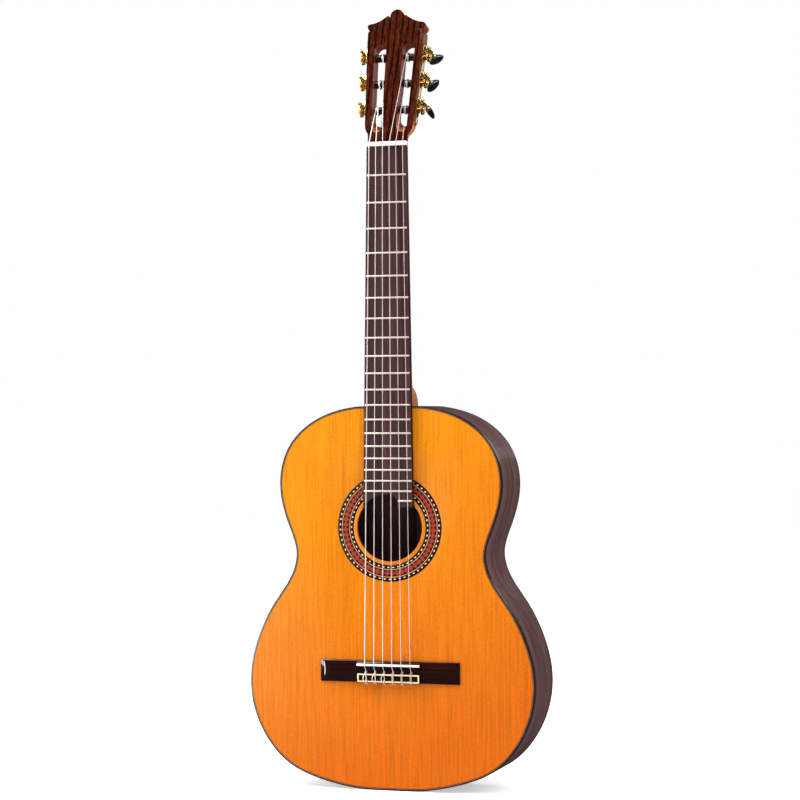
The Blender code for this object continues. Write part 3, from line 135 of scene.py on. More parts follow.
class Nodes:
    """Shader nodes that feed one main shader."""

    def __init__(self, tree, shader):
        self.tree = tree
        self.shader = tree.nodes[shader]

    def feed(self, node, name, value):
        """Gives an input of a node a value, or another node's output."""
        if isinstance(value, bpy.types.NodeSocket):
            self.tree.links.new(value, node.inputs[name])
        else:
            node.inputs[name].default_value = value

    def set(self, name, value):
        self.feed(self.shader, name, value)

    def node(self, kind, inputs=(), **settings):
        node = self.tree.nodes.new("ShaderNode" + kind)
        for key, value in settings.items():
            setattr(node, key, value)
        for key, value in dict(inputs).items():
            self.feed(node, key, value)
        return node

    def math(self, operation, a, b=0.0):
        return self.node("Math", {0: a, 1: b}, operation=operation).outputs[0]


class Finish(Nodes):
    """One procedural material: a Principled shader and the nodes that feed it."""

    def __init__(self, name, roughness, metallic=0.0, coat=0.0, coat_roughness=0.06):
        self.material = bpy.data.materials.new(name)
        self.material.use_nodes = True
        super().__init__(self.material.node_tree, "Principled BSDF")
        self.set("Roughness", roughness)
        self.set("Metallic", metallic)
        self.set("Coat Weight", coat)
        self.set("Coat Roughness", coat_roughness)

    def place(self, scale, mirror=False, attribute=None, turn=(0.0, 0.0, 0.0)):
        """Coordinates in the part's frame, stretched by scale. mirror folds them about the centre line."""
        if attribute:
            vector = self.node("Attribute", attribute_name=attribute).outputs["Vector"]
        else:
            vector = self.node("TexCoord").outputs["Object"]
        if mirror:
            axes = self.node("SeparateXYZ", {0: vector})
            side = self.math("ABSOLUTE", axes.outputs[0])
            vector = self.node("CombineXYZ", {0: side, 1: axes.outputs[1], 2: axes.outputs[2]}).outputs[0]
        mapping = self.node("Mapping", {"Vector": vector, "Rotation": turn, "Scale": scale})
        return mapping.outputs[0]

    def noise(self, vector, detail=3.0, distortion=0.0, rough=0.55):
        inputs = {"Vector": vector, "Scale": 1.0, "Detail": detail, "Roughness": rough}
        return self.node("TexNoise", inputs | {"Distortion": distortion}).outputs[0]

    def ramp(self, value, stops):
        """Turns a value into a colour. stops are (place, colour or grey level) pairs."""
        node = self.node("ValToRGB", {0: value})
        elements = node.color_ramp.elements
        while len(elements) < len(stops):
            elements.new(0.5)
        for element, (place, colour) in zip(elements, stops):
            element.position = place
            element.color = colour if isinstance(colour, tuple) else (colour, colour, colour, 1.0)
        return node.outputs[0]

    def mix(self, factor, a, b, blend="MIX"):
        return self.node("Mix", {0: factor, 6: a, 7: b}, data_type="RGBA", blend_type=blend).outputs[2]

    def shade(self, colour, value, stops, amount=1.0):
        """A colour multiplied by a ramp of a value."""
        return self.mix(amount, colour, self.ramp(value, stops), "MULTIPLY")

    def vary_roughness(self, value, roughness, roughest):
        spread = {0: value, 1: 0.3, 2: 0.7, 3: roughness * 0.8, 4: roughness * roughest}
        self.set("Roughness", self.node("MapRange", spread).outputs[0])

    def bump(self, height, strength, distance=0.0002, edge=0.0):
        """Fine relief. edge rounds the sharp corners by that radius."""
        inputs = {"Height": height, "Strength": strength, "Distance": distance}
        if edge:
            inputs["Normal"] = self.node("Bevel", {"Radius": edge}, samples=3).outputs[0]
        self.set("Normal", self.node("Bump", inputs).outputs[0])


# ---- finishes ----

def wood(name, tones, scale, pores, coat, roughness=0.35, mirror=False, attribute=None, edge=0.0,
         contrast=0.22, shine=0.35, painted_side_shade=False, darker_head=False):
    """Straight-grained wood. scale is the grain's fineness on each axis, lowest along the fibres. tones are
    0-255 colours from dark to light. shine is the strength of the sheen under the coat. painted_side_shade paints
    shade onto the faces that look to the left and right, and darker_head darkens everything above the nut.
    """
    finish = Finish(name, roughness, coat=coat, coat_roughness=0.06)
    finish.set("Specular IOR Level", shine)
    streaks, bands, fibres = (
        finish.noise(finish.place([s * size for s in scale], mirror, attribute), detail, distortion)
        for size, detail, distortion in ((1.0, 5.0, 0.5), (0.16, 2.0, 0.8), (4.5, 3.0, 0.0)))
    blend = finish.math("ADD", finish.math("MULTIPLY", streaks, 0.55), finish.math("MULTIPLY", bands, 0.45))
    low, high = 0.5 - contrast, 0.5 + contrast
    stops = [(low + (high - low) * i / (len(tones) - 1), srgb(*tone)) for i, tone in enumerate(tones)]
    colour = finish.ramp(blend, stops)
    dots = finish.ramp(fibres, [(0.30, 1.0 - pores), (0.46, 1.0)])
    colour = finish.mix(1.0, colour, dots, "MULTIPLY")
    # Painted shade: faces that look to the left and right are darkened, as if less light reached them.
    if painted_side_shade:
        axes = finish.node("SeparateXYZ", {0: finish.node("NewGeometry").outputs["True Normal"]})
        colour = finish.shade(colour, finish.math("ABSOLUTE", axes.outputs[0]), [(0.5, 1.0), (0.8, 0.16)])
    # Everything above the nut gets a darker tone.
    if darker_head:
        height = finish.node("SeparateXYZ", {0: finish.place((1, 1, 1))}).outputs[2]
        stops = [(NUT_HIGH.z + 0.016, 1.0), (NUT_HIGH.z + 0.030, (0.38, 0.22, 0.16, 1.0))]
        colour = finish.shade(colour, height, stops)
    finish.set("Base Color", colour)
    finish.vary_roughness(fibres, roughness, 1.25)
    finish.bump(finish.mix(0.5, streaks, dots), 0.10, 0.00015, edge)
    return finish.material


def cedar_finish():
    """Lacquered red cedar: fine upright rings, broader darker bands and faint silk across them."""
    finish = Finish("cedar_lacquer", 0.34, coat=0.3, coat_roughness=0.05)
    finish.set("Specular IOR Level", 0.12)
    rings = finish.noise(finish.place((620, 620, 14)), 3.0, 0.3)
    bands = finish.noise(finish.place((170, 170, 0.8)), 3.0, 0.5)
    broad = finish.noise(finish.place((7, 7, 4.0)), 2.0)
    silk = finish.noise(finish.place((420, 420, 620), turn=(0, 0.6, 0)), 3.0, 0.4)
    # Partly painted light: the base tone is lighter towards the bass side, where the key light falls, and it
    # grows lighter and yellower towards the neck.
    axes = finish.node("SeparateXYZ", {0: finish.place((-1.0, 1, 2.0))})
    slope = finish.math("ADD", axes.outputs[0], axes.outputs[2])
    colour = finish.ramp(slope, [(0.05, srgb(207, 100, 2)), (0.85, srgb(225, 136, 9))])
    colour = finish.shade(colour, bands, [(0.34, 0.84), (0.62, 1.0)], 0.45)
    colour = finish.shade(colour, rings, [(0.36, 0.70), (0.58, 1.0)], 0.70)
    colour = finish.shade(colour, broad, [(0.35, srgb(255, 226, 196)), (0.65, 1.0)], 0.30)
    colour = finish.shade(colour, silk, [(0.36, 0.70), (0.56, 1.0)], 0.55)
    finish.set("Base Color", colour)
    finish.bump(finish.mix(0.5, rings, silk), 0.05, 0.0001)
    return finish.material


def tile(name, colour):
    """A dyed wood tile of the rosette."""
    finish = Finish(name, 0.5)
    finish.set("Specular IOR Level", 0.2)
    pores = finish.noise(finish.place((1400, 1400, 1400)), 3.0)
    finish.set("Base Color", finish.shade(srgb(*colour), pores, [(0.3, 0.7), (0.6, 1.0)]))
    finish.bump(pores, 0.03, 0.00003)
    return finish.material


def head_finish():
    """The head's veneer: warm reddish brown rosewood with a handful of dark upright stripes."""
    finish = Finish("rosewood_head", 0.3, coat=0.35, coat_roughness=0.05)
    finish.set("Specular IOR Level", 0.0)
    drift = finish.noise(finish.place((30, 30, 8)), 2.0)
    axes = finish.node("SeparateXYZ", {0: finish.place((1, 1, 1))})
    across = finish.math("ADD", axes.outputs[0], finish.math("MULTIPLY", axes.outputs[2], -0.055))
    bent = finish.math("ADD", across, finish.math("MULTIPLY", drift, 0.006))
    stripe = finish.math("SINE", finish.math("MULTIPLY", bent, 780.0))
    fibres = finish.noise(finish.place((420, 420, 7)), 4.0, 0.4)
    pores = finish.noise(finish.place((1500, 1500, 40)), 3.0)
    tone = finish.ramp(fibres, [(0.32, srgb(32, 8, 4)), (0.50, srgb(62, 22, 10)), (0.68, srgb(84, 34, 16))])
    stripe = finish.math("MULTIPLY", finish.math("ADD", stripe, 1.0), 0.5)
    colour = finish.shade(tone, stripe, [(0.10, 0.10), (0.42, 1.0)], 0.82)
    colour = finish.shade(colour, pores, [(0.32, 0.4), (0.48, 1.0)], 0.4)
    finish.set("Base Color", colour)
    finish.bump(finish.mix(0.5, fibres, pores), 0.05, 0.0001, 0.0007)
    return finish.material


def plain(name, colour, roughness, metallic=0.0, coat=0.0, spread=0.12, scale=350.0, edge=0.0):
    """A smooth material with slight clouding, fine scuffs and a little relief."""
    finish = Finish(name, roughness, metallic, coat)
    clouds = finish.noise(finish.place((scale,) * 3), 4.0, 0.4)
    scuffs = finish.noise(finish.place((scale * 9, scale * 9, scale)), 2.0)
    finish.set("Base Color", finish.shade(srgb(*colour), clouds, [(0.3, 1.0 - spread), (0.7, 1.0)]))
    finish.vary_roughness(scuffs, roughness, 1.3)
    finish.bump(scuffs, 0.02 if metallic else 0.05, 0.00006, edge)
    return finish.material


def nylon_finish():
    """Clear nylon: partly see-through, pinkish and glossy."""
    finish = Finish("clear_nylon", 0.16)
    clouds = finish.noise(finish.place((300, 300, 40)), 3.0)
    finish.set("Base Color", finish.ramp(clouds, [(0.3, srgb(206, 184, 182)), (0.7, srgb(228, 210, 206))]))
    finish.set("Alpha", 0.56)
    finish.set("IOR", 1.53)
    return finish.material


def wound_finish():
    """Silver-plated wire wound round a core: a fine ripple along the string."""
    finish = Finish("silver_winding", 0.38, 0.55)
    wave = finish.node("TexWave", {"Vector": finish.place((1, 1, 1), attribute="grain"), "Scale": 1100.0},
                       wave_type="BANDS", bands_direction="X")
    tarnish = finish.noise(finish.place((500, 500, 60)), 3.0)
    finish.set("Base Color", finish.ramp(tarnish, [(0.3, srgb(218, 212, 204)), (0.7, srgb(244, 240, 232))]))
    finish.bump(wave.outputs["Fac"], 0.12, 0.00005)
    return finish.material


def make_finishes():
    dark_rose = [(56, 32, 32), (84, 56, 55), (100, 68, 65), (118, 82, 78)]
    made = {
        "cedar": cedar_finish(),
        "side_wood": wood("rosewood_side", dark_rose, (7, 300, 300), 0.3, 0.12, 0.5, attribute="grain",
                          contrast=0.17, shine=0.3),
        "back_wood": wood("rosewood_back", dark_rose, (300, 300, 7), 0.3, 0.3, 0.4, mirror=True),
        "bridge_wood": wood("rosewood_bridge", [(9, 2, 2), (22, 5, 4), (48, 14, 10)],
                            (9, 620, 620), 0.4, 1.0, 0.35, edge=0.0002, shine=0.0),
        "board_wood": wood("rosewood_board",
                           [(18, 6, 8), (52, 28, 30), (74, 42, 43), (94, 56, 55)],
                           (470, 470, 5), 0.55, 0.0, 0.5, edge=0.0003, contrast=0.17, shine=0.2,
                           painted_side_shade=True),
        "head_wood": head_finish(),
        "neck_wood": wood("neck_cedar", [(152, 80, 48), (204, 116, 72), (230, 142, 92)],
                          (380, 380, 9), 0.22, 0.15, 0.4, edge=0.0003, shine=0.2, darker_head=True),
        "inner_wood": wood("inner_spruce", [(120, 86, 52), (144, 108, 68), (160, 124, 82)],
                           (420, 420, 30), 0.15, 0.0, 0.6),
        # Linings, blocks and back braces: a mahogany tone, made darker as painted shade for the dim inside of the
        # body.
        "dark_wood": wood("inner_mahogany_and_painted_shade", [(40, 24, 18), (58, 34, 24), (72, 44, 31)],
                          (300, 300, 20), 0.2, 0.0, 0.6),
        "binding": wood("black_binding", [(12, 8, 9), (30, 22, 22), (48, 36, 34)],
                        (30, 500, 500), 0.2, 0.7, 0.25, attribute="grain"),
        "purfling": plain("purfling_pale", (150, 110, 78), 0.35, coat=0.4, spread=0.35),
        "purfling_dark": plain("purfling_dark", (66, 16, 8), 0.35, coat=0.4, spread=0.35),
        "strip": plain("back_strip_line", (206, 150, 88), 0.4, coat=0.4, spread=0.3),
        "bone": plain("polished_bone", (244, 241, 232), 0.28, coat=0.3, spread=0.06, edge=0.0003),
        "cream": plain("cream_inlay", (246, 206, 152), 0.3, coat=0.3, spread=0.08, edge=0.0001),
        "fret": plain("fret_silver", (222, 212, 200), 0.42, 0.45, spread=0.06, scale=200),
        "gold": plain("gold_plating", (250, 224, 162), 0.22, 1.0, spread=0.16, edge=0.0002),
        "brass": plain("machined_brass", (222, 174, 92), 0.30, 1.0, spread=0.25, edge=0.00015),
        "steel": plain("shaft_steel", (196, 190, 180), 0.26, 1.0, spread=0.15),
        "black": plain("roller_black", (10, 10, 12), 0.28, coat=0.3, spread=0.3, edge=0.0002),
        "button": plain("button_black", (9, 7, 8), 0.14, coat=0.6, spread=0.3),
        "nylon": nylon_finish(),
        "wound": wound_finish(),
    }
    tiles = {"black": (5, 3, 4), "cream": (248, 224, 180), "tan": (180, 98, 50), "red": (190, 30, 16),
             "maroon": (36, 5, 5), "orange": (228, 142, 78)}
    for name, colour in tiles.items():
        made["tile_" + name] = tile("mosaic_" + name, colour)
    return made


LOOKS = make_finishes()


# ---- mesh helpers ----

def new_object(name, bm):
    """An object in the scene made from a bmesh, with its faces turned outwards."""
    bmesh.ops.recalc_face_normals(bm, faces=bm.faces)
    mesh = bpy.data.meshes.new(name)
    bm.to_mesh(mesh)
    bm.free()
    obj = bpy.data.objects.new(name, mesh)
    bpy.context.scene.collection.objects.link(obj)
    return obj


def add_piece(name, bm, looks, body="guitar", replaces=None, smooth=30.0):
    """Makes a piece from a bmesh whose points are already in place, and lets it ride on a CAD body.
    """
    obj = new_object(name, bm)
    for look in looks:
        obj.data.materials.append(LOOKS[look])
    obj.data.shade_smooth()
    obj.data.set_sharp_from_angle(angle=math.radians(smooth))
    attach(obj, body)
    if replaces:
        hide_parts(replaces)
    return obj


def loft(rings, bm=None, closed=False, materials=None):
    """Skins rings of points. materials gives a material number to each stretch of the section.

    The "grain" layer keeps (distance along the loft, place across the section) for the finishes.
    """
    bm = bm or bmesh.new()
    layer = bm.verts.layers.float_vector.get("grain") or bm.verts.layers.float_vector.new("grain")
    count = len(rings[0])
    travelled = 0.0
    verts = []
    for number, ring in enumerate(rings):
        if number:
            travelled += (Vector(ring[0]) - Vector(rings[number - 1][0])).length
        row = [bm.verts.new(p) for p in ring]
        for vert in row:
            vert[layer] = (travelled, vert.co.y, vert.co.x * 0.2)
        verts.append(row)
    pairs = list(zip(verts, verts[1:]))
    if closed:
        pairs.append((verts[-1], verts[0]))
    for low, high in pairs:
        for i in range(count):
            j = (i + 1) % count
            face = bm.faces.new((low[i], low[j], high[j], high[i]))
            if materials:
                face.material_index = materials[i]
    if not closed:
        bm.faces.new(verts[0])
        bm.faces.new(verts[-1])
    return bm


def lathe(profile, place, sides=ROLLER_SIDES, bm=None, materials=None):
    """Turns (radius, distance) points round an axis. place(a, b, c) gives a point with c along the axis."""
    bm = bm or bmesh.new()
    angles = [2 * math.pi * i / sides for i in range(sides)]
    rings = [[bm.verts.new(place(radius * math.cos(t), radius * math.sin(t), distance)) for t in angles]
             for radius, distance in profile]
    materials = materials or [0] * len(profile)
    for low, high, number in zip(rings, rings[1:], materials):
        for i in range(sides):
            j = (i + 1) % sides
            bm.faces.new((low[i], low[j], high[j], high[i])).material_index = number
    bm.faces.new(rings[0]).material_index = materials[0]
    bm.faces.new(rings[-1]).material_index = materials[-1]
    return bm


def between(a, b, c, d, steps):
    """Points of the smooth curve through four points, from the second up to the third."""
    for k in range(steps):
        t = k / steps
        yield 0.5 * (2 * b + (c - a) * t + (2 * a - 5 * b + 4 * c - d) * t * t
                     + (3 * b - a - 3 * c + d) * t ** 3)


def catmull(points, steps):
    """A smooth path through the points."""
    padded = [2 * points[0] - points[1]] + points + [2 * points[-1] - points[-2]]
    path = []
    for i in range(1, len(padded) - 2):
        path += between(*padded[i - 1:i + 3], steps)
    return path + [points[-1]]


def tube(path, radius):
    """A round string along a path, with rounded ends."""
    last = len(path) - 1
    tangents = [(path[min(i + 1, last)] - path[max(i - 1, 0)]).normalized() for i in range(len(path))]
    across = tangents[0].orthogonal().normalized()
    angles = [2 * math.pi * k / STRING_SIDES for k in range(STRING_SIDES)]
    rings = []
    for i, (point, tangent) in enumerate(zip(path, tangents)):
        across = (across - tangent * across.dot(tangent)).normalized()
        up = tangent.cross(across)
        size = radius * (0.6 if i in (0, last) else 1.0)
        rings.append([point + (across * math.cos(t) + up * math.sin(t)) * size for t in angles])
    return loft(rings)


def rectangle(left, low, right, high, inset=0.0):
    """The corners of a rectangle, in order round it."""
    left, low, right, high = left + inset, low + inset, right - inset, high - inset
    return [(left, low), (right, low), (right, high), (left, high)]


def cut(obj, bm, operation="DIFFERENCE"):
    """Applies an exact Boolean to a piece."""
    tool = new_object("tool", bm)
    modifier = obj.modifiers.new("cut", "BOOLEAN")
    modifier.operation = operation
    modifier.solver = "EXACT"
    modifier.object = tool
    bake(obj)
    bpy.data.objects.remove(tool)


def bake(obj):
    """Applies a piece's modifiers."""
    bpy.context.view_layer.update()
    evaluated = obj.evaluated_get(bpy.context.evaluated_depsgraph_get())
    mesh = bpy.data.meshes.new_from_object(evaluated)
    obj.modifiers.clear()
    obj.data = mesh


def bevel(obj, width, angle):
    modifier = obj.modifiers.new("round_edges", "BEVEL")
    modifier.width = width
    modifier.segments = 2
    modifier.limit_method = "ANGLE"
    modifier.angle_limit = math.radians(angle)


def dress(name, look, round_edges=0.0, angle=30.0):
    """Finishes a CAD node where it is: its look, welded corners and softened edges."""
    obj = frame["nodes"][name]
    obj.data.materials.clear()
    obj.data.materials.append(LOOKS[look])
    if "custom_normal" in obj.data.attributes:
        obj.data.attributes.remove(obj.data.attributes["custom_normal"])
    obj.modifiers.new("weld", "WELD").merge_threshold = 0.00001
    if round_edges:
        bevel(obj, round_edges, angle)
    obj.data.shade_smooth()
    obj.modifiers.new("flat_faces", "NODES").node_group = smooth_group(angle)


def smooth_group(angle):
    """Geometry nodes that shade a mesh smooth and keep its corners above an angle sharp."""
    name = "smooth_by_%d" % angle
    if name in bpy.data.node_groups:
        return bpy.data.node_groups[name]
    group = bpy.data.node_groups.new(name, "GeometryNodeTree")
    for side in ("INPUT", "OUTPUT"):
        group.interface.new_socket("Geometry", in_out=side, socket_type="NodeSocketGeometry")
    start, end, edges, limit, soften = (group.nodes.new(kind) for kind in (
        "NodeGroupInput", "NodeGroupOutput", "GeometryNodeInputMeshEdgeAngle", "FunctionNodeCompare",
        "GeometryNodeSetShadeSmooth"))
    limit.operation = "LESS_EQUAL"
    limit.inputs[1].default_value = math.radians(angle)
    soften.domain = "EDGE"
    for output, socket in ((start.outputs[0], soften.inputs[0]), (edges.outputs[0], limit.inputs[0]),
                           (limit.outputs[0], soften.inputs[2]), (soften.outputs[0], end.inputs[0])):
        group.links.new(output, socket)
    return group


def fine_copy(name, node, look, body, crease):
    """A smoother piece that stands for a faceted CAD node. Edges sharper than crease stay crisp."""
    bm = bmesh.new()
    bm.from_mesh(frame["nodes"][node].data)
    bmesh.ops.remove_doubles(bm, verts=bm.verts, dist=0.000005)
    bmesh.ops.join_triangles(bm, faces=bm.faces, angle_face_threshold=math.radians(40),
                             angle_shape_threshold=math.pi)
    layer = bm.edges.layers.float.get("crease_edge") or bm.edges.layers.float.new("crease_edge")
    for edge in bm.edges:
        if len(edge.link_faces) == 2 and edge.calc_face_angle() > math.radians(crease):
            edge[layer] = 0.75
    obj = add_piece(name, bm, [look], body, node, 50)
    modifier = obj.modifiers.new("smooth", "SUBSURF")
    modifier.levels = modifier.render_levels = 2
    bake(obj)


# ---- the body's outline and the back's dome, from the CAD solids ----

def front_points(node, least=0.0, most=1.0):
    """(x, z) of a CAD node's vertices that lie in the soundboard's face, between two distances from the
    middle of the sound hole.
    """
    found = {(round(v.co.x, 6), round(v.co.z, 6)) for v in frame["nodes"][node].data.vertices
             if abs(v.co.y - FACE) < 0.00002 and least < (Vector((v.co.x, v.co.z)) - HOLE).length < most}
    return [Vector(p) for p in found]


def half_outline():
    """Fine points on the treble half of the body's true edge, from the tail to the neck."""
    middle = Vector((0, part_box("soundboard")[1].z / 2))
    by_angle = lambda p: math.atan2(p.x, middle.y - p.y)
    rim = [p for p in front_points("soundboard", ROSETTE_OUT + 0.003) if abs(p.x) > 0.001]
    rim.sort(key=by_angle)
    count = len(rim)
    edge = []
    for i, point in enumerate(rim):
        tangent = (rim[(i + 1) % count] - rim[i - 1]).normalized()
        edge.append(point + Vector((tangent.y, -tangent.x)) * TOP_GAP)
    fine = []
    for i in range(count):
        fine += between(edge[i - 1], edge[i], edge[(i + 1) % count], edge[(i + 2) % count], CURVE_STEPS)
    return sorted((p for p in fine if p.x > 0.0005), key=by_angle)


HALF = half_outline()


def outline(inset, side=0):
    """(x, z) points of the body's edge, moved inwards: the whole loop, or one side from tail to neck."""
    last = len(HALF) - 1
    half = []
    for i, point in enumerate(HALF):
        tangent = (HALF[min(i + 1, last)] - HALF[max(i - 1, 0)]).normalized()
        half.append(point - Vector((tangent.y, -tangent.x)) * inset)
    if side:
        return [(side * p.x, p.y) for p in half]
    return [(p.x, p.y) for p in half] + [(-p.x, p.y) for p in reversed(half)]


def fit_dome():
    """Numbers a..d of the back's outer face, y = a + b x^2 + c z + d z^2."""
    points = np.array([v.co for v in frame["nodes"]["back"].data.vertices if v.normal.y > 0.9])
    x, y, z = points.T
    terms = np.stack([np.ones(len(x)), x * x, z, z * z], axis=1)
    return np.linalg.lstsq(terms, y, rcond=None)[0]


DOME = fit_dome()


def back_y(x, z):
    return float(DOME[0] + DOME[1] * x * x + DOME[2] * z + DOME[3] * z * z)


# ---- body ----

def build_soundboard():
    rings = [[Vector((x, y, z)) for x, z in outline(TOP_GAP)] for y in (FACE, FACE + TOP_THICK)]
    board = add_piece("soundboard_plate", loft(rings), ["cedar"], replaces="soundboard")
    across = lambda a, b, c: Vector((a, FACE + c, HOLE_Z + b))
    rim = front_points("soundboard", 0.0, HOLE_MOST)
    hole = sum((p - HOLE).length for p in rim) / len(rim)
    cut(board, lathe([(hole, -0.002), (hole, 0.005)], across, HOLE_STEPS))
    inner, outer = ring_radii()
    cut(board, ring_rows([inner - 0.0001, outer + 0.0001], [-0.001, CHANNEL_DEEP], HOLE_STEPS))
    bevel(board, 0.0003, 50)


def ring_radii():
    """Inner and outer radius of the rosette."""
    sizes = [(p - HOLE).length for p in front_points("rosette")]
    return min(sizes), max(sizes)


def ring_rows(radii, levels, steps):
    """A closed flat ring between two radii and two depths."""
    rings = []
    for i in range(steps):
        t = 2 * math.pi * i / steps
        rings.append([Vector((r * math.cos(t), FACE + deep, HOLE_Z + r * math.sin(t)))
                      for r, deep in rectangle(radii[0], levels[0], radii[1], levels[1])])
    return loft(rings, closed=True)


def build_rosette():
    """Mosaic rings let into the soundboard: lines, two bands of rice-grain tiles and a chain of diamonds."""
    inner, outer = ring_radii()
    names = ["tile_black", "tile_cream", "tile_tan", "tile_red", "tile_maroon", "tile_orange"]
    number = {name: i for i, name in enumerate(names)}
    wide = outer - inner
    for place, (start, end, fill) in enumerate(ROSETTE_BANDS):
        low, high = inner + wide * start + 0.00001, inner + wide * end - 0.00001
        bm = bmesh.new()
        if fill == "diamonds":
            shapes = [(1.0, 1.0, 0.5, 0.5, "tile_tan"), (0.86, 0.86, 0.43, 0.43, "tile_black"),
                      (0.64, 0.68, 0.32, 0.34, "tile_red")]
            tile_band(bm, low, high, DIAMONDS, "tile_maroon", shapes, number)
        elif fill.startswith("grains"):
            shapes = [(0.40, 0.32, 0.32, 0.22, "tile_cream")]
            tile_band(bm, low, high, int(fill[-2:]), "tile_black", shapes, number)
        else:
            tile_band(bm, low, high, HOLE_STEPS, fill, [], number)
        band = add_piece("rosette_band_%02d" % place, bm, names, smooth=20)
        modifier = band.modifiers.new("thickness", "SOLIDIFY")
        modifier.thickness = ROSETTE_THICK
        modifier.offset = -1
        bake(band)
        if place == 0:
            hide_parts("rosette")


def tile_band(bm, low, high, cells, ground, shapes, number):
    """A ring of equal cells. Each shape is (reach round, reach across, corner's reach round, corner's reach
    across, tile), as shares of the cell, and lies within the one before.
    """
    middle, half = (low + high) / 2, (high - low) / 2
    step = 2 * math.pi / cells
    around = [(-1, -1), (0, -1), (1, -1), (1, 0), (1, 1), (0, 1), (-1, 1), (-1, 0)]
    for cell in range(cells):
        centre = (cell + 0.5) * step
        rings = []
        for reach_a, reach_r, corner_a, corner_r in [(1.0, 1.0, 1.0, 1.0)] + [s[:4] for s in shapes]:
            ring = []
            for a, r in around:
                corner = a and r
                angle = centre + a * step / 2 * (corner_a if corner else reach_a)
                radius = middle + r * half * (corner_r if corner else reach_r)
                ring.append(bm.verts.new((radius * math.cos(angle), FACE, HOLE_Z + radius * math.sin(angle))))
            rings.append(ring)
        fills = [ground] + [s[4] for s in shapes]
        for outer, inner, fill in zip(rings, rings[1:], fills):
            for i in range(8):
                j = (i + 1) % 8
                corners = [outer[i], outer[j], inner[j], inner[i]]
                apart = [v for k, v in enumerate(corners) if (v.co - corners[k - 1].co).length > 1e-6]
                if len(apart) > 2:
                    bm.faces.new(apart).material_index = number[fill]
        bm.faces.new(rings[-1]).material_index = number[fills[-1]]
    bmesh.ops.remove_doubles(bm, verts=bm.verts, dist=0.000002)


def edge_strip(name, looks, face_y, depth_sign, insets, tall, lines, node):
    """A strip that follows the body's edge. insets are the places across its face. A strip that starts at the
    body's own edge is rounded there. lines gives the material number of each stretch of its section.
    """
    loops = [outline(inset) for inset in insets]
    rings = []
    for i, (x, z) in enumerate(outline(0.0)):
        near = face_y(x, z)
        far = near + depth_sign * tall
        ring = [Vector((loops[0][i][0], far, loops[0][i][1]))]
        for loop, inset in zip(loops, insets):
            drop = 0.0
            if inset < BINDING_ROUND and insets[0] == 0.0:
                drop = BINDING_ROUND - math.sqrt(BINDING_ROUND ** 2 - (BINDING_ROUND - inset) ** 2)
            ring.append(Vector((loop[i][0], near + depth_sign * drop, loop[i][1])))
        ring.append(Vector((loops[-1][i][0], far, loops[-1][i][1])))
        rings.append(ring)
    add_piece(name, loft(rings, closed=True, materials=lines), looks, replaces=node)


def build_binding(name, face_y, depth_sign, node):
    """A ring of binding with a rounded corner, flush with the plate and the sides."""
    corner = [BINDING_ROUND * (1 - math.cos(math.pi / 2 * i / 4)) for i in range(4)]
    insets = corner + [BINDING_ROUND, BINDING_WIDE]
    lines = [0] * (len(insets) + 2)
    edge_strip(name, ["binding"], face_y, depth_sign, insets, BINDING_TALL, lines, node)


def build_purfling():
    """The two thin lines between the binding and the soundboard."""
    edge_strip("top_purfling_ring", ["purfling", "purfling_dark"], lambda x, z: FACE, 1, PURFLING,
               PURFLING_TALL, [0, 0, 1, 1, 1], "top_purfling")


def build_sides():
    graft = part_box("end_graft")[1].x
    for name, side in (("treble", 1), ("bass", -1)):
        rings = []
        for (xo, zo), (xi, zi) in zip(outline(0.0, side), outline(SIDE_THICK, side)):
            front = FACE + BINDING_TALL
            rear = back_y(xo, zo) - BINDING_TALL
            levels = [front + (rear - front) * k / (SIDE_LEVELS - 1) for k in range(SIDE_LEVELS)]
            rings.append([Vector((xo, y, zo)) for y in levels]
                         + [Vector((xi, y, zi)) for y in reversed(levels)])
        start = [Vector((side * (graft + 0.0001), p.y, 0.0 if i < SIDE_LEVELS else SIDE_THICK))
                 for i, p in enumerate(rings[0])]
        rings = [start] + [ring for ring in rings if abs(ring[0].x) > graft + 0.001]
        node = "side_" + name
        add_piece(node + "_shell", loft(rings), ["side_wood"], replaces=node)


def build_back():
    """The domed back, bookmatched about a centre strip with a pale line on each side."""
    half = outline(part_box("back_binding")[1].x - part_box("back")[1].x, 1)
    strip, line, columns = 0.0030, 0.0037, 12
    bm = bmesh.new()
    sheets = []
    for thick in (0.0, BACK_THICK):
        rows = []
        for x, z in half:
            right = [strip * min(1, x / 0.02), line * min(1, x / 0.02)]
            right += [right[1] + (x - right[1]) * (i / columns) for i in range(1, columns + 1)]
            xs = [-v for v in reversed(right)] + right
            rows.append([bm.verts.new((v, back_y(v, z) - thick, z)) for v in xs])
        sheets.append(rows)
    across = len(sheets[0][0])
    centre = across // 2 - 1
    for sheet in sheets:
        for low, high in zip(sheet, sheet[1:]):
            for i in range(across - 1):
                face = bm.faces.new((low[i], low[i + 1], high[i + 1], high[i]))
                face.material_index = 1 if i == centre else 2 if abs(i - centre) == 1 else 0
    rims = [s[0] + [r[-1] for r in s[1:-1]] + s[-1][::-1] + [r[0] for r in s[-2:0:-1]] for s in sheets]
    for i in range(len(rims[0])):
        j = (i + 1) % len(rims[0])
        bm.faces.new((rims[0][i], rims[0][j], rims[1][j], rims[1][i]))
    add_piece("back_plate", bm, ["back_wood", "bridge_wood", "strip"], replaces="back")


# ---- bridge, saddle, frets ----

def spot(x, z, high):
    """A point at a height over the soundboard."""
    return Vector((x, FACE - high, z))


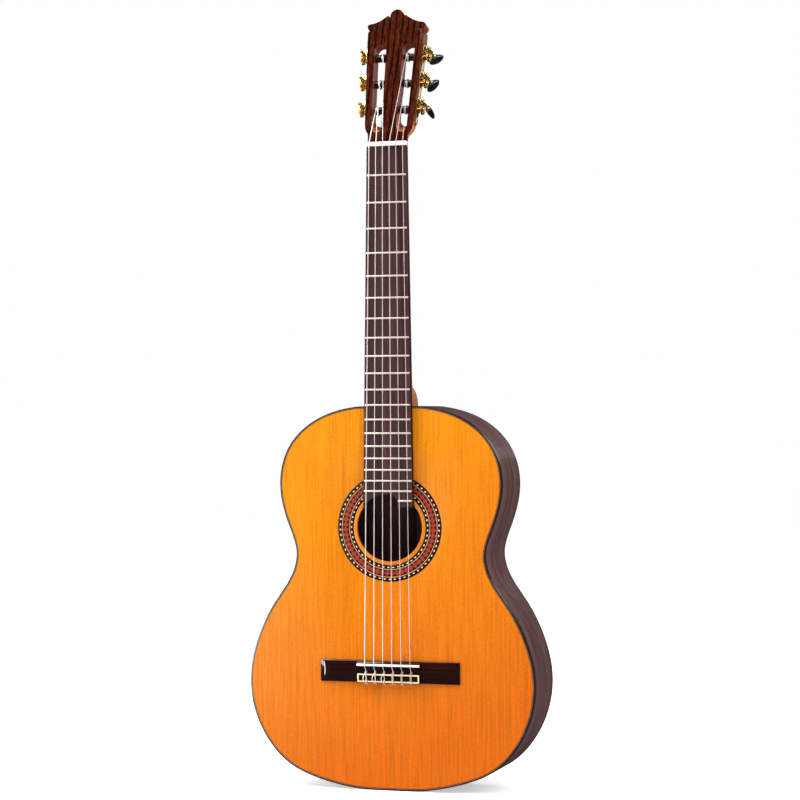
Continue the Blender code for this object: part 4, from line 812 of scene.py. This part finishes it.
def build_bridge():
    """Wings with a domed top and scooped ends, and a middle with the saddle's ridge, the ramp and the tie
    block.
    """
    tail, front = BRIDGE_LOW.z, BRIDGE_HIGH.z
    centre_half = TRIM_HIGH.x + 0.0010
    tie_top = FACE - TRIM_LOW.y - 0.0001
    ramp = 0.0036
    profile = [(tail, 0.0), (tail, tie_top - 0.0010), (tail + 0.0003, tie_top - 0.0003),
               (tail + 0.0010, tie_top), (TIE_FRONT - 0.0006, tie_top),
               (TIE_FRONT - 0.0001, tie_top - 0.0004), (TIE_FRONT + 0.0002, ramp),
               (SADDLE_Z - RIDGE_HALF - 0.0016, ramp), (SADDLE_Z - RIDGE_HALF, 0.0075)]
    for i in range(9):
        t = math.pi * (1 - i / 8)
        profile.append((SADDLE_Z + RIDGE_HALF * math.cos(t), 0.0072 + 0.0013 * math.sin(t)))
    profile += [(SADDLE_Z + RIDGE_HALF + 0.0009, 0.0062), (front - 0.0004, 0.0040), (front, 0.0034),
                (front, 0.0)]
    steps = [-centre_half, -centre_half + 0.0003, centre_half - 0.0003, centre_half]
    rings = []
    for k, x in enumerate(steps):
        drop = 0.0003 if k in (0, 3) else 0.0
        rings.append([spot(x, z, max(high - drop, 0.0) if high else 0.0) for z, high in profile])
    bridge = add_piece("bridge_body", loft(rings), ["bridge_wood"], replaces="bridge", smooth=40)
    for side in (1, -1):
        cut(bridge, bridge_wing(side, centre_half - 0.0006, BRIDGE_HIGH.x, tail, front), "UNION")
    corners = rectangle(SADDLE_LOW.x, SADDLE_LOW.z, SADDLE_HIGH.x, SADDLE_HIGH.z)
    cut(bridge, loft([[spot(x, z, level) for x, z in corners] for level in (0.0030, 0.0140)]))
    over, under = tie_top + 0.001, tie_top - 0.0006
    edge, inner_edge = (rectangle(TRIM_LOW.x, TRIM_LOW.z, TRIM_HIGH.x, TRIM_HIGH.z, inset)
                        for inset in (0.0, TRIM_WIDE))
    groove = [[spot(*a, over), spot(*b, over), spot(*b, under), spot(*a, under)]
              for a, b in zip(edge, inner_edge)]
    cut(bridge, loft(groove, closed=True))
    holes = bmesh.new()
    for number in range(1, 7):
        x = string_at(number, SADDLE_Z).x
        lathe([(TIE_HOLE, tail - 0.001), (TIE_HOLE, TIE_FRONT + 0.001)],
              lambda a, b, c: spot(x + a, c, TIE_HOLE_HIGH + b), 14, holes)
    cut(bridge, holes)
    bridge.data.set_sharp_from_angle(angle=math.radians(40))


def bridge_wing(side, inner, outer, tail, front):
    """A wing whose end is scooped. The scoop meets the domed top along an arc with a narrow chamfer."""
    middle, half = (tail + front) / 2, (front - tail) / 2
    rings = []
    rows = 18
    scoop_slope = 0.47
    chamfer_high = 0.25 * WING_CHAMFER
    for i in range(rows + 1):
        t = math.pi * i / rows
        z = middle - half * math.cos(t)
        high = 0.0021 + 0.0027 * math.sin(t) ** 0.75
        edge = 0.0013 + 0.0004 * math.sin(t)
        meets = outer - max(high - chamfer_high - edge, 0.0002) / scoop_slope
        stations = [(inner, 0.0), (inner, high), (inner + (meets - inner) * 0.5, high),
                    (meets - WING_CHAMFER, high), (meets, high - chamfer_high), (outer, edge), (outer, 0.0)]
        rings.append([spot(side * x, z, level) for x, level in stations])
    return loft(rings)


def build_saddle():
    """A bone blade with a round top and softened ends."""
    low, high = SADDLE_LOW, SADDLE_HIGH
    z, half = SADDLE_Z, (high.z - low.z) / 2
    top = FACE - low.y
    rings = []
    for x, shrink in ((low.x, 0.0006), (low.x + 0.0003, 0.0002), (low.x + 0.0009, 0.0),
                      (high.x - 0.0009, 0.0), (high.x - 0.0003, 0.0002), (high.x, 0.0006)):
        ring = [spot(x, z - half, 0.0032), spot(x, z + half, 0.0032)]
        for i in range(13):
            t = math.pi * i / 12
            ring.append(spot(x, z + half * math.cos(t), top - shrink - half + half * math.sin(t)))
        rings.append(ring)
    add_piece("saddle_blade", loft(rings), ["bone"], replaces="saddle", smooth=45)


def build_frets():
    """Fret wires with a round crown and sloping ends, where the CAD frets stand."""
    crowns = sorted((v.co for v in frame["nodes"]["frets"].data.vertices
                     if v.co.y < FACE - BOARD_HIGH - 0.0005), key=lambda co: co.z)
    groups = [crowns[:1]]
    for co in crowns[1:]:
        if co.z - groups[-1][-1].z < FRET_APART:
            groups[-1].append(co)
        else:
            groups.append([co])
    bm = bmesh.new()
    for points in groups:
        z = (min(p.z for p in points) + max(p.z for p in points)) / 2
        left, right = min(p.x for p in points), max(p.x for p in points)
        rings = []
        for x, tall in ((left, 0.25), (left + 0.0005, 0.85), (left + 0.0009, 1.0),
                        (right - 0.0009, 1.0), (right - 0.0005, 0.85), (right, 0.25)):
            ring = [spot(x, z - FRET_HALF, BOARD_HIGH - 0.0002)]
            for i in range(11):
                t = math.pi * (1 - i / 10)
                high = BOARD_HIGH + 0.0001 + 0.0010 * tall * math.sin(t)
                ring.append(spot(x, z + FRET_HALF * math.cos(t), high))
            ring.append(spot(x, z + FRET_HALF, BOARD_HIGH - 0.0002))
            rings.append(ring)
        loft(rings, bm)
    add_piece("fret_wires", bm, ["fret"], replaces="frets", smooth=45)


# ---- strings ----

def string_at(number, z):
    """The centre of a CAD string at a height, on the straight line from the saddle to the nut."""
    verts = [v.co for v in frame["nodes"]["string_%d" % number].data.vertices]
    run = []
    for target in (SADDLE_Z, AT_NUT):
        near = [co for co in verts if abs(co.z - target) < 0.0007]
        low = Vector([min(c[k] for c in near) for k in range(3)])
        high = Vector([max(c[k] for c in near) for k in range(3)])
        run.append((low + high) / 2)
    share = (z - run[0].z) / (run[1].z - run[0].z)
    return run[0].lerp(run[1], share)


def roller_frame(number):
    """A roller's origin and its outward, upward and forward directions."""
    joint = JOINTS["roller_spin_%d" % number]
    origin = Vector(joint["pos_m"])
    outward = Vector(joint["axis"]).normalized()
    if outward.x * origin.x < 0:
        outward = -outward
    front = Vector(JOINTS["worm_spin_%d" % number]["axis"]).normalized()
    up = outward.cross(front)
    if up.z < 0:
        up = -up
    return origin, outward, up, front


def around_roller(number, node):
    """How far a CAD node's vertices are along a roller's axis and away from it."""
    origin, outward = roller_frame(number)[:2]
    found = []
    for v in frame["nodes"][node].data.vertices:
        offset = v.co - origin
        along = offset.dot(outward)
        found.append((along, (offset - outward * along).length))
    return found


def barrel_radius(number):
    """The roller's largest radius."""
    return max(away for _, away in around_roller(number, "roller_%d" % number))


def coil_span(number, radius):
    """Where the CAD string's windings begin and end along the roller: (landing side, far side)."""
    origin, outward = roller_frame(number)[:2]
    reach = [along for along, away in around_roller(number, "string_%d" % number) if away < COIL_REACH]
    ends = [min(reach) + radius, max(reach) - radius]
    nut_x = abs(string_at(number, NUT_LOW.z).x)
    ends.sort(key=lambda along: abs(abs((origin + outward * along).x) - nut_x))
    return ends


def build_string(number):
    """A string's run, with its knot on the tie block, and its windings, which ride with the roller."""
    wound = number >= FIRST_WOUND
    looks = ["wound" if wound else "nylon"]
    over_saddle = string_at(number, SADDLE_Z)
    over_nut = string_at(number, AT_NUT)
    radius = (FACE - over_saddle.y) - (FACE - SADDLE_LOW.y) - 0.00010
    x = over_saddle.x
    tail = BRIDGE_LOW.z
    middle = (tail + TIE_FRONT) / 2
    top = FACE - TRIM_LOW.y
    lay = top + radius + TOUCH
    wide = 0.0029 if wound else 0.0006
    near = 0.0013 if wound else 0.0009
    swing = 1 if number % 2 else -1
    end = (0.0012, tail - 0.0030, 0.0045) if wound else (0.0026 * swing, tail - 0.0030, 0.0022)
    knot = [       # (across from the string, z, height)
        end, (0.0012, tail - 0.0016, 0.0050), (0.0007, tail - 0.0008, top - 0.0018),
        (0.0006, tail + 0.0012, lay), (near, middle, lay + 0.0001), (0.0004, TIE_FRONT - 0.0006, lay),
        (0.0009, TIE_FRONT + 0.0012, top - 0.0016), (0.0006, TIE_FRONT + 0.0026, 0.0052),
        (-0.0006, TIE_FRONT + 0.0026, 0.0052), (-0.0010, TIE_FRONT + 0.0012, top - 0.0016),
        (-0.0006, TIE_FRONT - 0.0006, lay), (-wide, middle + 0.0010, lay),
        (-wide * 0.9, tail + 0.0030, lay), (-0.0002, tail + 0.0004, lay - 0.0001),
        (0.0, tail - 0.0012, top - 0.0014), (0.0, tail - 0.0012, 0.0056),
        (0.0, tail - 0.0002, TIE_HOLE_HIGH), (0.0, tail + 0.0020, TIE_HOLE_HIGH),
        (0.0, TIE_FRONT - 0.0020, TIE_HOLE_HIGH), (0.0, TIE_FRONT + 0.0004, TIE_HOLE_HIGH + 0.0001),
    ]
    path = catmull([spot(x + across, z, high) for across, z, high in knot], 6)
    high = FACE - over_saddle.y
    path += catmull([spot(x, SADDLE_Z - 0.0026, high - 0.0007), spot(x, SADDLE_Z - 0.0012, high - 0.0001),
                     spot(x, SADDLE_Z, high), spot(x, SADDLE_Z + 0.0015, high)], 4)
    path += [over_saddle.lerp(over_nut, share) for share in (0.1, 0.3, 0.5, 0.7, 0.9, 1.0)]
    leave = Vector((over_nut.x, over_nut.y + 0.0009, NUT_HIGH.z))
    coil, first = coil_path(number, radius, leave)
    path += [leave, leave.lerp(first, 0.5), first]
    add_piece("string_run_%d" % number, tube(path, radius), looks, replaces="string_%d" % number, smooth=60)
    add_piece("string_coil_%d" % number, tube(coil, radius), looks, "roller_set_%d" % number, smooth=60)


def coil_path(number, radius, leave):
    """The windings and the point where the straight string touches the roller."""
    origin, outward, up, front = roller_frame(number)
    lands, far = coil_span(number, radius)
    grows = 1 if far > lands else -1
    winding = barrel_radius(number) + TOUCH + radius
    centre = origin + outward * lands
    rise, out = (leave - centre).dot(up), (leave - centre).dot(front)
    first = math.atan2(rise, out) + math.acos(winding / math.hypot(rise, out))
    points = []
    for i in range(-1, COIL_STEPS * COIL_TURNS + 1):
        turn = 2 * math.pi * i / COIL_STEPS
        pitch = (2 * radius + 0.00012) * grows * max(turn, 0.0) / (2 * math.pi)
        angle = first + turn
        points.append(centre + outward * pitch + (front * math.cos(angle) + up * math.sin(angle)) * winding)
    end = points[-1]
    inwards = (centre + outward * pitch - end).normalized()
    points.append(end + inwards * 0.0012 + outward * grows * 0.0006)
    return points, points[1]


# ---- tuning machines ----

def build_machine(number):
    """A roller, the slotted screw that holds its gear, a smooth worm and a smooth button."""
    origin, outward, up, front = roller_frame(number)
    place = lambda a, b, c: origin + up * a + front * b + outward * c
    barrel = barrel_radius(number)
    reach = [along for along, _ in around_roller(number, "roller_%d" % number)]
    start, end = min(reach), max(reach)
    inner, outer = start + 0.0055, -0.0098
    profile = [
        (0.0020, start), (0.0025, start + 0.0005), (0.0025, inner), (barrel - 0.0003, inner),
        (barrel, inner + 0.0003), (barrel, inner + 0.0012), (barrel - 0.0004, inner + 0.0015),
        (barrel - 0.0004, outer - 0.0015), (barrel, outer - 0.0012), (barrel, outer - 0.0003),
        (barrel - 0.0003, outer), (0.0030, outer), (0.0030, 0.0016), (0.0019, 0.0016), (0.0019, end),
    ]
    body = "roller_set_%d" % number
    add_piece("roller_core_%d" % number, lathe(profile, place, materials=[0] * 11 + [1] * 3),
              ["black", "steel"], body, "roller_%d" % number, 40)
    head = [(0.0027, end - 0.0003), (0.0029, end), (0.0029, end + 0.0006), (0.0024, end + 0.0010),
            (0.0008, end + 0.0012)]
    screw = add_piece("gear_screw_%d" % number, lathe(head, place, 28), ["gold"], body)
    corners = rectangle(-0.004, -0.00035, 0.004, 0.00035)
    cut(screw, loft([[place(a, b, level) for a, b in corners] for level in (end + 0.0006, end + 0.003)]))
    dress("gear_%d" % number, "brass", round_edges=0.00012, angle=28)
    body = "worm_set_%d" % number
    fine_copy("worm_screw_%d" % number, "worm_%d" % number, "gold", body, 50)
    fine_copy("button_knob_%d" % number, "button_%d" % number, "button", body, 75)


def build_plates():
    """Gold plates with their screws."""
    for name, middle in (("tuner_plate_treble", 2), ("tuner_plate_bass", 5)):
        dress(name, "gold", round_edges=0.0002, angle=28)
        origin, outward, up, front = roller_frame(middle)
        along = [(v.co - origin).dot(up) for v in frame["nodes"][name].data.vertices]
        profile = [(0.0013, -0.0002), (0.0016, 0.0), (0.0015, 0.0004), (0.0010, 0.0007), (0.0003, 0.0008)]
        bm = bmesh.new()
        for place_up in (min(along) + 0.0050, -0.0165, 0.0190, max(along) - 0.0040):
            place = lambda a, b, c: origin + up * (place_up + a) + front * b + outward * (SCREW_FACE + c)
            lathe(profile, place, 20, bm)
        add_piece(name.replace("tuner_plate", "plate_screws"), bm, ["gold"], smooth=50)


# ---- stage ----

FLOOR_GLOW = 0.5            # keeps the pale floor as bright as the background
FLOOR_MIRRORED = 0.06       # the lacquer mirrors a dark floor, as in a studio with black flags
WORLD_DIFFUSE = 0.62
WORLD_GLOSSY = 0.06
SOFTBOXES = [               # (name, azimuth, elevation, distance, width, height, power)
    ("left", -62.0, 6.0, 2.2, 0.45, 1.9, 29.0),
    ("main", -60.0, 50.0, 2.6, 1.3, 1.3, 66.0),
    ("right", 56.0, 36.0, 2.6, 1.4, 1.6, 34.0),
    ("top", 0.0, 86.0, 2.2, 1.4, 0.8, 12.0),
    ("glint_head_back", 160.0, 2.0, 1.5, 0.35, 0.6, 0.6),
    ("glint_head_right", 98.0, 30.0, 1.2, 0.6, 0.6, 6.0),
    ("glint_head_left", -100.0, 20.0, 1.2, 0.6, 0.6, 5.0),
    ("glint_bridge", -45.0, 0.0, 0.6, 0.2, 0.22, 3.0),
]
GLINT = "glint"             # these lights only show as reflections


def build_stage():
    """A pale floor, a white surround and the studio's lights."""
    bm = bmesh.new()
    bmesh.ops.create_grid(bm, x_segments=1, y_segments=1, size=6.0)
    floor = new_object("floor", bm)
    floor.location.z = -0.0005
    paint = Finish("pale_floor", 0.8)
    paint.set("Specular IOR Level", 0.0)
    clouds = paint.noise(paint.place((3, 3, 3)), 3.0)
    pale = paint.ramp(clouds, [(0.3, 0.88), (0.7, 0.92)])
    rays = paint.node("LightPath").outputs
    mirrored = (FLOOR_MIRRORED, FLOOR_MIRRORED, FLOOR_MIRRORED, 1.0)
    paint.set("Base Color", paint.mix(rays["Is Glossy Ray"], pale, mirrored))
    paint.set("Emission Color", (1.0, 1.0, 1.0, 1.0))
    paint.set("Emission Strength", paint.math("MULTIPLY", rays["Is Camera Ray"], FLOOR_GLOW))
    floor.data.materials.append(paint.material)

    world = bpy.data.worlds.new("studio")
    bpy.context.scene.world = world
    world.use_nodes = True
    sky = Nodes(world.node_tree, "Background")
    rays = sky.node("LightPath").outputs
    shine = sky.node("MapRange", {0: rays["Is Glossy Ray"], 3: WORLD_DIFFUSE, 4: WORLD_GLOSSY}).outputs[0]
    sky.set("Color", (1.0, 1.0, 1.0, 1.0))
    sky.set("Strength", sky.math("MAXIMUM", rays["Is Camera Ray"], shine))
    world.cycles.sampling_method = "NONE"

    centre = (cad_box[0] + cad_box[1]) / 2
    head = Vector((0, 0, cad_box[1].z * 0.89))
    bridge = Vector((BRIDGE_LOW.x, BRIDGE_LOW.y, (BRIDGE_LOW.z + BRIDGE_HIGH.z) / 2))
    for name, *bearing in SOFTBOXES:
        softbox(name, head if "head" in name else bridge if "bridge" in name else centre, *bearing)


def softbox(name, target, azimuth, elevation, distance, wide, tall, power):
    """A flat light at a bearing from its target. Azimuth 0 is in front of the soundboard and 90 is on the
    treble side.
    """
    turn, rise = math.radians(azimuth), math.radians(elevation)
    towards = Vector((math.sin(turn) * math.cos(rise), -math.cos(turn) * math.cos(rise), math.sin(rise)))
    light = bpy.data.lights.new(name, "AREA")
    light.shape = "RECTANGLE"
    light.size = wide
    light.size_y = tall
    light.energy = power
    obj = bpy.data.objects.new(name, light)
    obj.location = target + towards * distance
    obj.rotation_euler = (-towards).to_track_quat("-Z", "Y").to_euler()
    obj.visible_camera = False
    obj.visible_diffuse = not name.startswith(GLINT)
    bpy.context.scene.collection.objects.link(obj)


def build_camera():
    """Level with the waist, a little to the treble side, with a long lens. Solved from the photo."""
    around = math.radians(17.7)
    roll = math.radians(0.25)
    distance = 3.015
    target = Vector((0, FACE, cad_box[1].z * 0.4839))
    data = bpy.data.cameras.new("camera")
    data.sensor_width = 36.0
    data.lens = 108.0
    data.shift_x = 0.0138
    data.shift_y = 0.0125
    data.clip_start = 0.05
    right = Vector((math.cos(around), math.sin(around), 0))
    forward = Vector((-math.sin(around), math.cos(around), 0))
    up = Vector((0, 0, 1))
    turned = right * math.cos(roll) - up * math.sin(roll)
    matrix = Matrix((turned, forward.cross(turned) * -1, -forward)).transposed().to_4x4()
    matrix.translation = target - forward * distance
    camera = bpy.data.objects.new("camera", data)
    camera.matrix_world = matrix
    bpy.context.scene.collection.objects.link(camera)
    bpy.context.scene.camera = camera
    bpy.context.scene.view_settings.view_transform = "Standard"


# ---- assembly ----

def build_guitar():
    build_soundboard()
    build_rosette()
    build_binding("top_binding_ring", lambda x, z: FACE, 1, "top_binding")
    build_binding("back_binding_ring", back_y, -1, "back_binding")
    build_purfling()
    build_sides()
    build_back()
    build_bridge()
    build_saddle()
    build_frets()
    dress("tie_block_trim", "cream", round_edges=0.0001)
    dress("end_graft", "binding")
    dress("neck", "neck_wood")
    dress("headplate", "head_wood", angle=35)
    dress("heel_cap", "bridge_wood", round_edges=0.0003)
    dress("fingerboard", "board_wood")
    dress("nut", "bone", round_edges=0.0002)
    for name in frame["nodes"]:
        if name.startswith(("harmonic", "fan")):
            dress(name, "inner_wood")
        if name.startswith(("lining", "back_bracing")) or name.endswith("_block"):
            dress(name, "dark_wood")
    for number in range(1, 7):
        build_string(number)
        build_machine(number)
    build_plates()


build_guitar()
build_stage()
build_camera()

bpy.context.view_layer.update()
